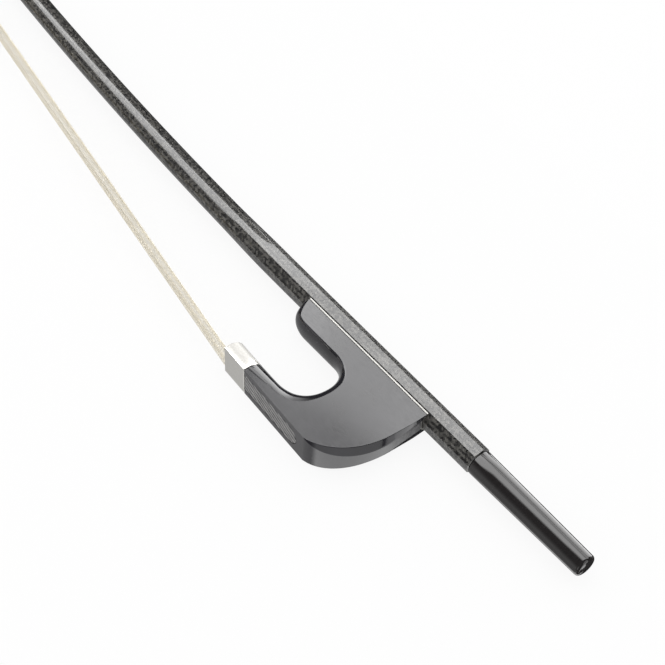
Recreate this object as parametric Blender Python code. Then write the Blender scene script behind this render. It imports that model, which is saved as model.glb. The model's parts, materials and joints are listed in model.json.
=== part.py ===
"""Double bass bow of the underhand kind: a moulded carbon stick and a composite frog.

The bow lies on its side. X runs along the handle towards the button, the hair is on the -Y
side and Z runs across the bow. Pieces of the stick are placed from the butt end of the handle,
pieces of the frog from the frog's rear end, all on the handle's axis. All sizes are in metres.
"""
import math

import bmesh
import bpy
from mathutils import Matrix, Vector

# Clearances
FIT = 0.0003                    # air between two pieces that seat on each other

# Handle, shaft and camber
HANDLE_FLATS = 0.0127           # across the flats of the octagon
HANDLE_LENGTH = 0.141           # from the butt to where the facets start to fade
FADE_LENGTH = 0.037             # octagon to round
BUTT_CHAMFER = 0.0004
SHAFT_REAR_DIAMETER = 0.0126
SHAFT_HEAD_DIAMETER = 0.0084
CAMBER_START = 0.116            # the stick is straight behind this
CAMBER_RADIUS = 2.5
CAMBER_ARC = 0.552              # length of the curved stretch, up to the head
SPIGOT_RADIUS = 0.0035
SPIGOT_LENGTH = 0.002

# Head, seen from the side: along the stick's tangent, and down towards the hair
HEAD_THROAT = 0.0102            # from the end of the shaft to the face's rear corner
HEAD_DEPTH = 0.0224             # from the stick's axis to the face's rear corner
FACE_LENGTH = 0.0290
FACE_TURN = math.radians(5.0)   # between the face and the stick's tangent
FACE_WIDTH = 0.0116
HEAD_MORTISE_LENGTH = 0.0108
HEAD_MORTISE_WIDTH = 0.0092
HEAD_MORTISE_DEPTH = 0.0080
HEAD_MORTISE_BACK = 0.0078      # from the face's rear corner to the mortise
LINER_THICKNESS = 0.0009
PLATE_THICKNESS = 0.0012

# Frog
FROG_BACK = 0.0296              # from the butt to the frog's rear end, at rest
FROG_LENGTH = 0.0801            # along the stick
FROG_TOP_WIDTH = 0.0124         # where it meets the stick
FROG_HAIR_WIDTH = 0.0183        # at the hair side
NOSE_BULGE = 0.0009             # how far the nose stands ahead of the side faces
NOSE_RUN = 0.0101               # length of the nose's curve, along the tongue
TONGUE_DEPTH = 0.0156           # handle's axis to the underside of the tongue
TONGUE_ROUND = 0.0018           # depth of its rounded edges
MOUTH_END = 0.0390              # from the frog's rear end to the end of its mouth
MOUTH_ROUND = 0.0044            # how far the rounding there reaches into the side face
ARM_LEAD = 0.0017               # how far the lower arm reaches ahead of the tongue
ARM_HEIGHT = 0.0105             # lower arm, and the ferrule on it
ARM_STRAIGHT = 0.00135          # upright part of the arm's sides, below its round top
HAIR_SIDE_DEPTH = 0.0525        # handle's axis to the hair side, at the ferrule's rear edge
HAIR_SIDE_TURN = math.radians(3.15)
HEEL_REACH = 0.0234             # length of the heel's round, along the hair side
HEEL_TOP = 0.0220               # handle's axis to where the heel starts to round
CRESCENT_INSET = 0.0025         # widest part of the crescent chamfer, in the side face
BACK_WIDTH = 0.0066             # what the two crescents leave of the frog's back
SIDE_LEVELS = (0.0, 0.34, 0.62, 0.82, 1.0)      # share of the depth below the stick
SIDE_FLARE = (0.0, 0.20, 0.44, 0.74, 1.0)       # share of the widening at those depths

# Frog fittings
UNDERSLIDE_THICKNESS = 0.0005
LINER_SCREW_HEAD = 0.0015       # radius
LINER_SCREW_SHANK = 0.00085     # radius
LINER_SCREW_LENGTH = 0.0055
LINER_SCREW_MARGIN = 0.0100      # from either end of the underslide
FERRULE_LENGTH = 0.015
FERRULE_WALL = 0.0006
SLIDE_LENGTH = 0.0383
SLIDE_WIDTH = 0.0110
SLIDE_THICKNESS = 0.0013
SLIDE_DOVETAIL = 0.0004
BACKING_THICKNESS = 0.0010
BACKING_WIDTH = 0.0100
FROG_MORTISE_START = 0.0148     # from the ferrule's rear edge
FROG_MORTISE_LENGTH = 0.0110
FROG_MORTISE_DEPTH = 0.0085
FROG_MORTISE_WIDTH = 0.0098
TAIL_THICKNESS = 0.0009
PLUG_LENGTH = 0.0054
KNOT_LENGTH = 0.0028
BINDING_WIDTH = 0.0014
WEDGE_LENGTH = 0.0064
WEDGE_THICKNESS = 0.0016
WEDGE_WIDTH = 0.0130

# Screw, eyelet and button
SCREW_RADIUS = 0.00175
SCREW_SHANK_RADIUS = 0.0016
SCREW_REACH = 0.088             # from the butt to the screw's front end
THREAD_LENGTH = 0.046
TANG_SIDE = 0.0032
TANG_LENGTH = 0.0195
EYELET_PLACE = 0.038            # from the frog's rear end
EYELET_LENGTH = 0.007
EYELET_WIDTH = 0.0044
EYELET_TOP = 0.0034             # above the handle's axis
EYELET_SHANK_RADIUS = 0.0017
EYELET_SHANK_LENGTH = 0.0058
TRAVEL_SLACK = 0.0015           # frog towards the head
TRAVEL_TIGHT = 0.0075           # frog towards the button
BUTTON_LENGTH = 0.0672
BUTTON_FRONT_RADIUS = 0.00637
BUTTON_REAR_RADIUS = 0.00562
BUTTON_ROUND = 0.0016

# Hair
HAIR_THICKNESS = 0.0009
HAIR_FROG_WIDTH = 0.0160
HAIR_HEAD_WIDTH = 0.0082
HAIR_TUCK = 0.0093              # how far it reaches into the ferrule at rest
HAIR_ROOT = 0.0034              # how far it reaches into the head's mortise

# Fineness of the round forms
SECTION_POINTS = 32             # a multiple of 16 keeps the octagon's corners and facets
EDGE_STEPS = 8                  # strips from the frog's middle to its side face
TURNED_STEPS = 32
SMALL_TURNED_STEPS = 20

# Values that follow from the sizes above
OCTAGON_CORNER = math.tan(math.radians(22.5))
HANDLE_APOTHEM = HANDLE_FLATS / 2
UNDERSLIDE_INNER = HANDLE_APOTHEM + FIT
UNDERSLIDE_OUTER = UNDERSLIDE_INNER + UNDERSLIDE_THICKNESS
CRADLE_APOTHEM = UNDERSLIDE_OUTER + FIT
FROG_TOP_HALF = FROG_TOP_WIDTH / 2
HAIR_HALF = FROG_HAIR_WIDTH / 2
SHAFT_ANGLE = CAMBER_ARC / CAMBER_RADIUS
SLOT_LIP = SLIDE_THICKNESS + FIT
BACKING_LIP = SLOT_LIP + BACKING_THICKNESS + FIT
TAIL_FLOOR = BACKING_LIP + TAIL_THICKNESS + FIT
BORE_RADIUS = SCREW_RADIUS + FIT
FERRULE_REAR = FROG_LENGTH + ARM_LEAD - FERRULE_LENGTH
LINER_SCREW_PLACES = {"liner_screw_front": FROG_LENGTH - LINER_SCREW_MARGIN,
                      "liner_screw_rear": LINER_SCREW_MARGIN}


def bezier(start, pull_a, pull_b, end, count):
    """Points of a cubic curve, without its first one."""
    a, b, c, d = (Vector(p) for p in (start, pull_a, pull_b, end))
    points = []
    for k in range(1, count + 1):
        t = k / count
        s = 1.0 - t
        points.append(a * s ** 3 + b * 3 * t * s ** 2 + c * 3 * t ** 2 * s + d * t ** 3)
    return points


def finish(name, colour, roughness, metallic=0.0, coat=0.0):
    """One Principled material."""
    material = bpy.data.materials.new(name)
    material.use_nodes = True
    shader = material.node_tree.nodes["Principled BSDF"]
    shader.inputs["Base Color"].default_value = (*colour, 1.0)
    shader.inputs["Roughness"].default_value = roughness
    shader.inputs["Metallic"].default_value = metallic
    shader.inputs["Coat Weight"].default_value = coat
    material.diffuse_color = (*colour, 1.0)
    return material


def empty(name, parent, location=(0.0, 0.0, 0.0), turn=0.0):
    """A guide that carries pieces, turned about Z."""
    guide = bpy.data.objects.new(name, None)
    guide.parent = parent
    guide.location = location
    guide.rotation_euler = (0.0, 0.0, turn)
    bpy.context.scene.collection.objects.link(guide)
    return guide


def piece(name, bm, material, parent, location=(0.0, 0.0, 0.0), sharp=32.0):
    """Turns a bmesh into a named object, smooth except at its sharp edges."""
    bmesh.ops.recalc_face_normals(bm, faces=bm.faces)
    mesh = bpy.data.meshes.new(name)
    bm.to_mesh(mesh)
    bm.free()
    mesh.shade_smooth()
    mesh.set_sharp_from_angle(angle=math.radians(sharp))
    if material is not None:
        mesh.materials.append(material)
    thing = bpy.data.objects.new(name, mesh)
    thing.parent = parent
    thing.location = location
    bpy.context.scene.collection.objects.link(thing)
    return thing


def helper(name, bm, parent, location=(0.0, 0.0, 0.0)):
    """A hidden shape that a Boolean cuts or joins with."""
    thing = piece(name, bm, None, parent, location)
    thing.hide_render = True
    thing.display_type = 'WIRE'
    return thing


def combine(target, tool, operation='DIFFERENCE'):
    step = target.modifiers.new(tool.name, 'BOOLEAN')
    step.operation = operation
    step.solver = 'EXACT'
    step.object = tool


def prism(outline, low, high):
    """An outline in X and Y, extruded along Z."""
    bm = bmesh.new()
    face = bm.faces.new([bm.verts.new((x, y, low)) for x, y in outline])
    grown = bmesh.ops.extrude_face_region(bm, geom=[face])["geom"]
    moved = [v for v in grown if isinstance(v, bmesh.types.BMVert)]
    bmesh.ops.translate(bm, verts=moved, vec=(0.0, 0.0, high - low))
    return bm


def box(x_low, x_high, y_low, y_high, width):
    """A block centred across the bow."""
    outline = [(x_low, y_low), (x_high, y_low), (x_high, y_high), (x_low, y_high)]
    return prism(outline, -width / 2, width / 2)


def turned(profile, steps):
    """A profile of (x, radius) points, from axis to axis, spun about X."""
    bm = bmesh.new()
    verts = [bm.verts.new((x, 0.0, radius)) for x, radius in profile]
    edges = [bm.edges.new(pair) for pair in zip(verts, verts[1:])]
    bmesh.ops.spin(bm, geom=verts + edges, cent=(0, 0, 0), axis=(1, 0, 0),
                   angle=math.tau, steps=steps, use_merge=True)
    bmesh.ops.remove_doubles(bm, verts=bm.verts, dist=1e-6)
    return bm


def rod(start, end, radius, steps=SMALL_TURNED_STEPS):
    return turned([(start, 0.0), (start, radius), (end, radius), (end, 0.0)], steps)


def upright(bm):
    """Turns a shape made along X so that it stands along -Y."""
    bmesh.ops.rotate(bm, verts=bm.verts, cent=(0, 0, 0),
                     matrix=Matrix.Rotation(math.radians(-90.0), 3, 'Z'))
    return bm


def skin(rings, closed_ends=True):
    """Quads between neighbouring rings of points."""
    bm = bmesh.new()
    loops = [[bm.verts.new(p) for p in ring] for ring in rings]
    for one, two in zip(loops, loops[1:]):
        count = len(one)
        for k in range(count):
            bm.faces.new((one[k], one[(k + 1) % count], two[(k + 1) % count], two[k]))
    if closed_ends:
        bm.faces.new(loops[0])
        bm.faces.new(loops[-1])
    return bm


# Stick: one skin over the handle, the shaft and the head

def section(outer, inner, half_width, octagon=0.0, pear=0.0, ridge=0.0):
    """A closed section between the side away from the hair and the side towards it."""
    middle = (Vector(outer) + Vector(inner)) / 2
    span = (Vector(outer) - Vector(inner)) / 2
    ring = []
    for k in range(SECTION_POINTS):
        angle = math.tau * k / SECTION_POINTS
        from_facet = (angle + math.pi / 8) % (math.pi / 4) - math.pi / 8
        reach = 1.0 + octagon * (1.0 / math.cos(from_facet) - 1.0)
        along, across = reach * math.cos(angle), reach * math.sin(angle)
        across *= 1.0 - pear * along
        across *= abs(math.sin(angle)) ** (ridge * max(0.0, math.cos(angle)))
        spot = middle + span * along
        ring.append((spot.x, spot.y, half_width * across))
    return ring


def camber_point(arc, down=0.0, ahead=0.0):
    """A point `down` from the stick's centre line towards the hair, at a length of arc."""
    angle = arc / CAMBER_RADIUS
    centre = Vector((-CAMBER_START - CAMBER_RADIUS * math.sin(angle),
                     CAMBER_RADIUS * (1.0 - math.cos(angle))))
    to_tip = Vector((-math.cos(angle), math.sin(angle)))
    to_hair = Vector((-math.sin(angle), -math.cos(angle)))
    return centre + to_tip * ahead + to_hair * down


def shaft_radius(arc):
    """Straight taper from the end of the facets to the head."""
    start = HANDLE_LENGTH + FADE_LENGTH - CAMBER_START
    share = max(0.0, (arc - start) / (CAMBER_ARC - start))
    return (SHAFT_REAR_DIAMETER + (SHAFT_HEAD_DIAMETER - SHAFT_REAR_DIAMETER) * share) / 2


def stick_rings():
    rings = []
    for x, radius in ((SPIGOT_LENGTH, SPIGOT_RADIUS), (0.0, SPIGOT_RADIUS)):
        rings.append([(x, y, z) for _, y, z in section((0.0, radius), (0.0, -radius), radius)])
    for x, apothem in ((0.0, HANDLE_APOTHEM - BUTT_CHAMFER), (-BUTT_CHAMFER, HANDLE_APOTHEM),
                       (-CAMBER_START, HANDLE_APOTHEM)):
        rings.append(section((x, apothem), (x, -apothem), apothem, octagon=1.0))
    facets_end = HANDLE_LENGTH - CAMBER_START
    arcs = [facets_end + FADE_LENGTH * k / 5 for k in range(6)]
    rest = CAMBER_ARC - arcs[-1]
    arcs += [arcs[-1] + rest * k / 16 for k in range(1, 17)]
    for arc in arcs:
        fade = min(1.0, max(0.0, (arc - facets_end) / FADE_LENGTH))
        octagon = 1.0 - fade * fade * (3.0 - 2.0 * fade)
        radius = shaft_radius(arc) * fade + HANDLE_APOTHEM * (1.0 - fade)
        rings.append(section(camber_point(arc, -radius), camber_point(arc, radius), radius, octagon))
    return rings + head_rings()


def head_rings():
    """Sections that fan out from the shaft's end to the face under the head."""
    radius = SHAFT_HEAD_DIAMETER / 2
    face_end = (HEAD_THROAT + FACE_LENGTH * math.cos(FACE_TURN),
                HEAD_DEPTH + FACE_LENGTH * math.sin(FACE_TURN))
    top = bezier((0.0, -radius), (0.0225, -0.0068), (0.0335, 0.0035), face_end, 14)
    throat = bezier((0.0, radius), (0.0095, radius), (0.0125, 0.0085), (HEAD_THROAT, HEAD_DEPTH), 14)
    rings = []
    for k, (outer, inner) in enumerate(zip(top, throat), start=1):
        share = k / len(top)
        half_width = radius + (FACE_WIDTH / 2 - radius) * share ** 1.4
        rings.append(section(camber_point(CAMBER_ARC, outer.y, outer.x),
                             camber_point(CAMBER_ARC, inner.y, inner.x),
                             half_width, pear=0.16 * share, ridge=0.7 * share))
    return rings


def face_outline():
    """The head's face in its own frame: x runs from its rear corner towards the frog."""
    flat = section((-FACE_LENGTH, 0.0), (0.0, 0.0), FACE_WIDTH / 2, pear=0.16, ridge=0.7)
    return [(x, z) for x, _, z in flat]


def face_layer(start, thickness):
    """A plate on the head's face, with the mortise's mouth through it."""
    rings = [[(x, y, z) for x, z in face_outline()] for y in (-start, -start - thickness)]
    return skin(rings)


def make_stick(bow, carbon):
    stick = piece("stick", skin(stick_rings()), carbon, bow, sharp=21.0)
    bore = rod(-SCREW_REACH - 0.004, SPIGOT_LENGTH + 0.001, BORE_RADIUS)
    combine(stick, helper("screw_bore", bore, bow))
    centre = -FROG_BACK - EYELET_PLACE
    slot = box(centre - EYELET_LENGTH / 2 - TRAVEL_SLACK - FIT,
               centre + EYELET_LENGTH / 2 + TRAVEL_TIGHT + FIT,
               -HANDLE_FLATS, EYELET_TOP + FIT, EYELET_WIDTH + 2 * FIT)
    combine(stick, helper("eyelet_slot", slot, bow))
    return stick


def make_head(bow, stick, finishes):
    """The head's face pieces and what its mortise holds."""
    corner = camber_point(CAMBER_ARC, HEAD_DEPTH, HEAD_THROAT)
    face = empty("head_face", bow, (corner.x, corner.y, 0.0), FACE_TURN - SHAFT_ANGLE)
    front = -HEAD_MORTISE_BACK - HEAD_MORTISE_LENGTH
    liner_start = FIT
    plate_start = liner_start + LINER_THICKNESS + FIT
    plate_end = plate_start + PLATE_THICKNESS
    mortise = helper("head_mortise", box(front, -HEAD_MORTISE_BACK, -2 * plate_end,
                                         HEAD_MORTISE_DEPTH, HEAD_MORTISE_WIDTH), face)
    liner = piece("head_liner", face_layer(liner_start, LINER_THICKNESS), finishes["liner"], face)
    plate = piece("head_plate", face_layer(plate_start, PLATE_THICKNESS), finishes["plate"], face)
    for thing in (stick, liner, plate):
        combine(thing, mortise)
    hair_front = -HEAD_MORTISE_BACK - FIT - HAIR_THICKNESS
    plug_top = HAIR_ROOT + FIT
    width = HEAD_MORTISE_WIDTH - 2 * FIT
    plug = box(front + FIT, hair_front - FIT, -LINER_THICKNESS, plug_top, width)
    piece("head_plug", plug, finishes["maple"], face)
    knot_length = HEAD_MORTISE_LENGTH - 2 * (FIT + 0.0006 + FIT)
    knot_middle = front + HEAD_MORTISE_LENGTH / 2
    knot_low, knot_high = plug_top + FIT, HEAD_MORTISE_DEPTH - FIT
    knot = box(knot_middle - knot_length / 2, knot_middle + knot_length / 2, knot_low, knot_high,
               width - 2 * (0.0006 + FIT))
    piece("head_knot", knot, finishes["hair"], face)
    wrap = binding(knot_length, width - 2 * (0.0006 + FIT), 0.0006)
    piece("head_knot_binding", wrap, finishes["thread"], face,
          (knot_middle, (knot_low + knot_high) / 2, 0.0))
    return face


def binding(length, width, thickness):
    """Thread round a knot: a four-sided band that clears it all round."""
    rings = []
    low, high = -BINDING_WIDTH / 2, BINDING_WIDTH / 2
    for grow, y in ((FIT, low), (FIT + thickness, low), (FIT + thickness, high), (FIT, high)):
        x, z = length / 2 + grow, width / 2 + grow
        rings.append([(-x, y, -z), (x, y, -z), (x, y, z), (-x, y, z)])
    rings.append(rings[0])
    bm = skin(rings, closed_ends=False)
    bmesh.ops.remove_doubles(bm, verts=bm.verts, dist=1e-6)
    return bm


# Frog body: strips from its middle plane to its side face, all round its outline

def hair_side_point(along, depth):
    """From the ferrule's rear edge: along the hair side, and into the frog."""
    turn = HAIR_SIDE_TURN
    return Vector((-FERRULE_REAR + along * math.cos(turn) + depth * math.sin(turn),
                   -HAIR_SIDE_DEPTH - along * math.sin(turn) + depth * math.cos(turn)))


def cradle_rim(apothem):
    """Where a lower facet at this distance from the axis meets the frog's side face."""
    return apothem * math.sqrt(2.0) - FROG_TOP_HALF


def side_half_width(y):
    """Half the frog's thickness at a depth: narrow at the stick, flared at the hair side."""
    top, bottom = cradle_rim(CRADLE_APOTHEM), HAIR_SIDE_DEPTH
    share = min(1.0, max(0.0, (-y - top) / (bottom - top)))
    flare = 0.0
    for k in range(1, len(SIDE_LEVELS)):
        low, high = SIDE_LEVELS[k - 1], SIDE_LEVELS[k]
        part = min(1.0, max(0.0, (share - low) / (high - low)))
        flare += part * (SIDE_FLARE[k] - SIDE_FLARE[k - 1])
    return FROG_TOP_HALF + (HAIR_HALF - FROG_TOP_HALF) * flare


def round_edge(reach=90.0):
    """Shares of the way in and of the way across, closer together towards the side face."""
    full = math.radians(reach)
    shares = []
    for k in range(EDGE_STEPS + 1):
        angle = full * (k / EDGE_STEPS) ** 0.65
        shares.append(((1 - math.cos(angle)) / (1 - math.cos(full)), math.sin(angle) / math.sin(full)))
    return shares


def flat_edge(half_width, flat):
    """Straight across to a half width of `flat`, then a chamfer out to the side face."""
    half = EDGE_STEPS // 2
    across = [(0.0, flat / half_width * k / half) for k in range(half + 1)]
    chamfer = [(k / half, (flat + (half_width - flat) * k / half) / half_width)
               for k in range(1, half + 1)]
    return across + chamfer


def cradle_edge():
    """Across the bottom facet, then up the slanting one."""
    half = EDGE_STEPS // 2
    corner = CRADLE_APOTHEM * OCTAGON_CORNER / FROG_TOP_HALF
    flat = [(0.0, corner * k / half) for k in range(half + 1)]
    slant = [(k / half, corner + (1.0 - corner) * k / half) for k in range(1, half + 1)]
    return flat + slant


def frog_stations():
    """(middle point, side face point, edge) all round the outline, from the rear of the top."""
    rim, bed = cradle_rim(CRADLE_APOTHEM), CRADLE_APOTHEM
    stations = [((0.0, -bed), (0.0, -rim), cradle_edge()),
                ((-FROG_LENGTH / 2, -bed), (-FROG_LENGTH / 2, -rim), cradle_edge())]
    stations += nose_stations(rim, bed)
    stations += throat_stations()
    arm_top, arm_side = hair_side_point(0.0, ARM_HEIGHT), hair_side_point(0.0, ARM_STRAIGHT)
    stations.append((arm_top, arm_side, round_edge()))
    stations += heel_stations(rim)
    return stations


def nose_stations(rim, bed):
    """Down the front of the tongue and round on to its underside."""
    front = -FROG_LENGTH - NOSE_BULGE
    under = -FROG_LENGTH + NOSE_RUN
    middle = [Vector((front, -bed))]
    middle += bezier((front, -bed), (front + 0.0002, 0.0025 - TONGUE_DEPTH),
                     (under - 0.0079, -TONGUE_DEPTH), (under, -TONGUE_DEPTH), 8)
    edge_depth = TONGUE_DEPTH - TONGUE_ROUND
    side = [Vector((-FROG_LENGTH, -rim))]
    side += bezier((-FROG_LENGTH, -rim), (0.0017 - FROG_LENGTH, -(rim + edge_depth) / 2),
                   (under - 0.0066, -edge_depth), (under - 0.0005, -edge_depth), 8)
    edges = [cradle_edge()] + [round_edge()] * 8
    return list(zip(middle, side, edges))


def throat_stations():
    """Along the tongue's underside, round the mouth's end and on to the lower arm."""
    middle_turn = -MOUTH_END - 0.0120
    side_turn = -MOUTH_END - 0.0095
    side_end = -MOUTH_END + MOUTH_ROUND
    edge_depth = TONGUE_DEPTH - TONGUE_ROUND
    level = (TONGUE_DEPTH + HAIR_SIDE_DEPTH - ARM_HEIGHT) / 2 - 0.0018
    arm = hair_side_point(0.0098, ARM_HEIGHT)
    middle = bezier((middle_turn, -TONGUE_DEPTH), (middle_turn + 0.0060, -TONGUE_DEPTH),
                    (-MOUTH_END, -TONGUE_DEPTH - 0.0030), (-MOUTH_END, -level), 11)
    middle += bezier(middle[-1], (-MOUTH_END, -level - 0.0092), arm + Vector((0.0110, -0.0002)),
                     arm, 16)
    crease = hair_side_point(0.0180, 0.0046)
    side = bezier((side_turn, -edge_depth), (side_turn + 0.0060, -edge_depth),
                  (side_end - 0.0006, -edge_depth - 0.0037), (side_end, 0.0005 - level), 11)
    side += bezier(side[-1], (side_end, -level - 0.0115), (side_end - 0.0039, crease.y + 0.0012),
                   crease, 16)
    reach = [90.0] * 11 + [90.0 - 1.65 * k for k in range(1, 12)] + [72.5, 75.5, 78.5, 82.0, 86.0]
    first = ((middle_turn, -TONGUE_DEPTH), (side_turn, -edge_depth), round_edge())
    return [first] + list(zip(middle, side, [round_edge(r) for r in reach]))


def heel_stations(rim):
    """Back along the flat hair side, then up the heel between its two crescent chamfers."""
    front = hair_side_point(0.0, 0.0)
    centre = Vector((-HEEL_REACH, -HEEL_TOP))
    foot = hair_side_point((FERRULE_REAR - HEEL_REACH) / math.cos(HAIR_SIDE_TURN), 0.0)
    drop = centre.y - foot.y
    curve = []
    steps = 20
    for k in range(steps + 1):
        angle = math.radians(90.0 * (1.0 - k / steps))
        spot = centre + Vector((HEEL_REACH * math.cos(angle), -drop * math.sin(angle)))
        inward = Vector((-math.cos(angle) * drop, math.sin(angle) * HEEL_REACH)).normalized()
        curve.append((spot, inward, 0.7 * k / steps))
    for k in (1, 2):
        rise = k / 3
        spot = Vector((0.0, -HEEL_TOP + (HEEL_TOP - CRADLE_APOTHEM) * rise))
        curve.append((spot, Vector((-1.0, 0.0)), 0.7 + 0.3 * rise))
    narrow, wide = BACK_WIDTH / 2, HAIR_HALF - 0.0003
    stations = [(front, front, flat_edge(HAIR_HALF, wide))]
    for spot, inward, share in curve:
        inset = CRESCENT_INSET * math.sin(math.pi * share ** 0.7) ** 1.3
        side = spot + inward * inset
        flat = narrow + (wide - narrow) * max(0.0, 1.0 - share / 0.6) ** 1.6
        stations.append((spot, side, flat_edge(side_half_width(side.y), flat)))
    return stations


def frog_shell():
    """Half the frog as strips, its side face in flat bands, then mirrored across Z."""
    bm = bmesh.new()
    rows = []
    for middle, side, edge in frog_stations():
        middle, side = Vector(middle), Vector(side)
        row = []
        for inward, across in edge:
            spot = middle.lerp(side, inward)
            row.append(bm.verts.new((spot.x, spot.y, across * side_half_width(side.y))))
        rows.append(row)
    for one, two in zip(rows, rows[1:] + rows[:1]):
        for k in range(EDGE_STEPS):
            bm.faces.new((one[k], one[k + 1], two[k + 1], two[k]))
    rim = [row[-1] for row in rows]
    bands = [bm.faces.new(rim)]
    top, bottom = cradle_rim(CRADLE_APOTHEM), HAIR_SIDE_DEPTH
    for share in SIDE_LEVELS[1:-1]:
        level = -top - (bottom - top) * share
        geometry = list(bands)
        for face in bands:
            geometry += list(face.verts) + list(face.edges)
        split = bmesh.ops.bisect_plane(bm, geom=list(dict.fromkeys(geometry)), dist=1e-7,
                                       plane_co=(0.0, level, 0.0), plane_no=(0.0, 1.0, 0.0))
        bands = [g for g in split["geom"] if isinstance(g, bmesh.types.BMFace)]
    for vert in {v for face in bands for v in face.verts}:
        vert.co.z = side_half_width(vert.co.y)
    bmesh.ops.triangulate(bm, faces=[f for f in bm.faces if len(f.verts) > 4])
    bmesh.ops.recalc_face_normals(bm, faces=bm.faces)
    grown = bmesh.ops.duplicate(bm, geom=list(bm.verts) + list(bm.edges) + list(bm.faces))["geom"]
    twin = [g for g in grown if isinstance(g, bmesh.types.BMVert)]
    bmesh.ops.scale(bm, verts=twin, vec=(1.0, 1.0, -1.0))
    bmesh.ops.remove_doubles(bm, verts=bm.verts, dist=1e-6)
    return bm


def arm_outline(inset, floor=0.0, steps=18):
    """The lower arm's D section in depth and Z, from one foot over the top to the other."""
    radius = HAIR_HALF - inset
    height = ARM_HEIGHT - ARM_STRAIGHT - inset
    start = 0.0
    points = []
    if floor > ARM_STRAIGHT:
        start = math.asin((floor - ARM_STRAIGHT) / height)
    else:
        points.append((floor, radius))
    for k in range(steps + 1):
        angle = start + (math.pi - 2 * start) * k / steps
        points.append((ARM_STRAIGHT + height * math.sin(angle), radius * math.cos(angle)))
    if floor <= ARM_STRAIGHT:
        points.append((floor, -radius))
    return points


def arm_ring(x, outline):
    return [(x, depth, z) for depth, z in outline]


def make_frog(frog, finishes):
    """The body, joined to its ferrule tongue and cut for everything it holds."""
    hair_side = empty("frog_hair_side", frog, (-FERRULE_REAR, -HAIR_SIDE_DEPTH, 0.0), -HAIR_SIDE_TURN)
    body = piece("frog_body", frog_shell(), finishes["frog"], frog, sharp=28.0)
    inset = FERRULE_WALL + FIT
    floor = tongue_floor()
    tongue = arm_outline(inset, floor)
    spigot = skin([arm_ring(0.002, tongue), arm_ring(-FERRULE_LENGTH + 2 * FIT, tongue)])
    combine(body, helper("ferrule_tongue", spigot, hair_side), 'UNION')
    cuts = {
        "slide_slot": slide_shape(FIT, SLOT_LIP),
        "backing_slot": box(-0.001, SLIDE_LENGTH - SLIDE_WIDTH / 2, SLIDE_THICKNESS / 2, BACKING_LIP,
                            BACKING_WIDTH + 2 * FIT),
        "hair_channel": box(-0.001, FROG_MORTISE_START + 0.001, SLIDE_THICKNESS, TAIL_FLOOR,
                            FROG_MORTISE_WIDTH),
        "frog_mortise": box(FROG_MORTISE_START, FROG_MORTISE_START + FROG_MORTISE_LENGTH,
                            SLIDE_THICKNESS, FROG_MORTISE_DEPTH, FROG_MORTISE_WIDTH),
    }
    for name, shape in cuts.items():
        combine(body, helper(name, shape, hair_side))
    shank_end = HANDLE_APOTHEM + EYELET_SHANK_LENGTH + FIT
    hole = upright(rod(HANDLE_APOTHEM - 0.001, shank_end, EYELET_SHANK_RADIUS + FIT))
    shank_hole = helper("eyelet_hole", hole, frog, (-EYELET_PLACE, 0.0, 0.0))
    combine(body, shank_hole)
    underslide = make_underslide(frog, finishes["nickel"])
    combine(underslide, shank_hole)
    for name, place in LINER_SCREW_PLACES.items():
        spot = (-place, 0.0, 0.0)
        hole = helper(name + "_hole", liner_screw(FIT), frog, spot)
        combine(body, hole)
        combine(underslide, hole)
        piece(name, liner_screw(0.0), finishes["steel"], frog, spot)
    make_eyelet(frog, finishes["brass"])
    make_arm_pieces(hair_side, finishes)
    return hair_side


def tongue_floor():
    """Depth of the wedge's seat in the ferrule: wall, hair and its play, then the wedge."""
    play = HAIR_TUCK * math.sin(HAIR_SIDE_TURN) + 2 * FIT
    return FERRULE_WALL + FIT + HAIR_THICKNESS + play + WEDGE_THICKNESS + FIT


def make_underslide(frog, metal):
    """Three facets that ride on the handle, flush with the frog's side faces."""
    profile = []
    for apothem, order in ((UNDERSLIDE_INNER, 1), (UNDERSLIDE_OUTER, -1)):
        corner = apothem * OCTAGON_CORNER
        chain = [(-cradle_rim(apothem), FROG_TOP_HALF), (-apothem, corner),
                 (-apothem, -corner), (-cradle_rim(apothem), -FROG_TOP_HALF)]
        profile += chain[::order]
    rings = [[(x, y, z) for y, z in profile] for x in (-FROG_LENGTH, 0.0)]
    return piece("underslide", skin(rings), metal, frog, sharp=20.0)


def liner_screw(grow):
    """A countersunk screw that stands along -Y; grow makes the hole for it."""
    head_top = UNDERSLIDE_INNER + 0.00005 - 2 * grow
    cone_end = head_top + LINER_SCREW_HEAD - LINER_SCREW_SHANK + 2 * grow
    tip = UNDERSLIDE_INNER + LINER_SCREW_LENGTH + grow
    head, shank = LINER_SCREW_HEAD + grow, LINER_SCREW_SHANK + grow
    profile = [(head_top, 0.0), (head_top, head), (head_top + 0.00015 + grow, head),
               (cone_end + 0.00015, shank), (tip - 0.0006, shank), (tip, shank * 0.4), (tip, 0.0)]
    return upright(turned(profile, 16))


def make_eyelet(frog, brass):
    """A bored block in the handle's slot, with a shank that screws into the frog."""
    half = EYELET_LENGTH / 2
    block = box(-half, half, -HANDLE_APOTHEM, EYELET_TOP, EYELET_WIDTH)
    eyelet = piece("eyelet", block, brass, frog, (-EYELET_PLACE, 0.0, 0.0))
    edges = eyelet.modifiers.new("eased_edges", 'BEVEL')
    edges.width = 0.0004
    edges.segments = 2
    shank_end = HANDLE_APOTHEM + EYELET_SHANK_LENGTH
    shank = upright(rod(HANDLE_APOTHEM - 0.002, shank_end, EYELET_SHANK_RADIUS))
    combine(eyelet, helper("eyelet_shank", shank, frog, eyelet.location), 'UNION')
    bore = rod(-EYELET_LENGTH, EYELET_LENGTH, BORE_RADIUS)
    combine(eyelet, helper("eyelet_bore", bore, frog, eyelet.location))


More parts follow.
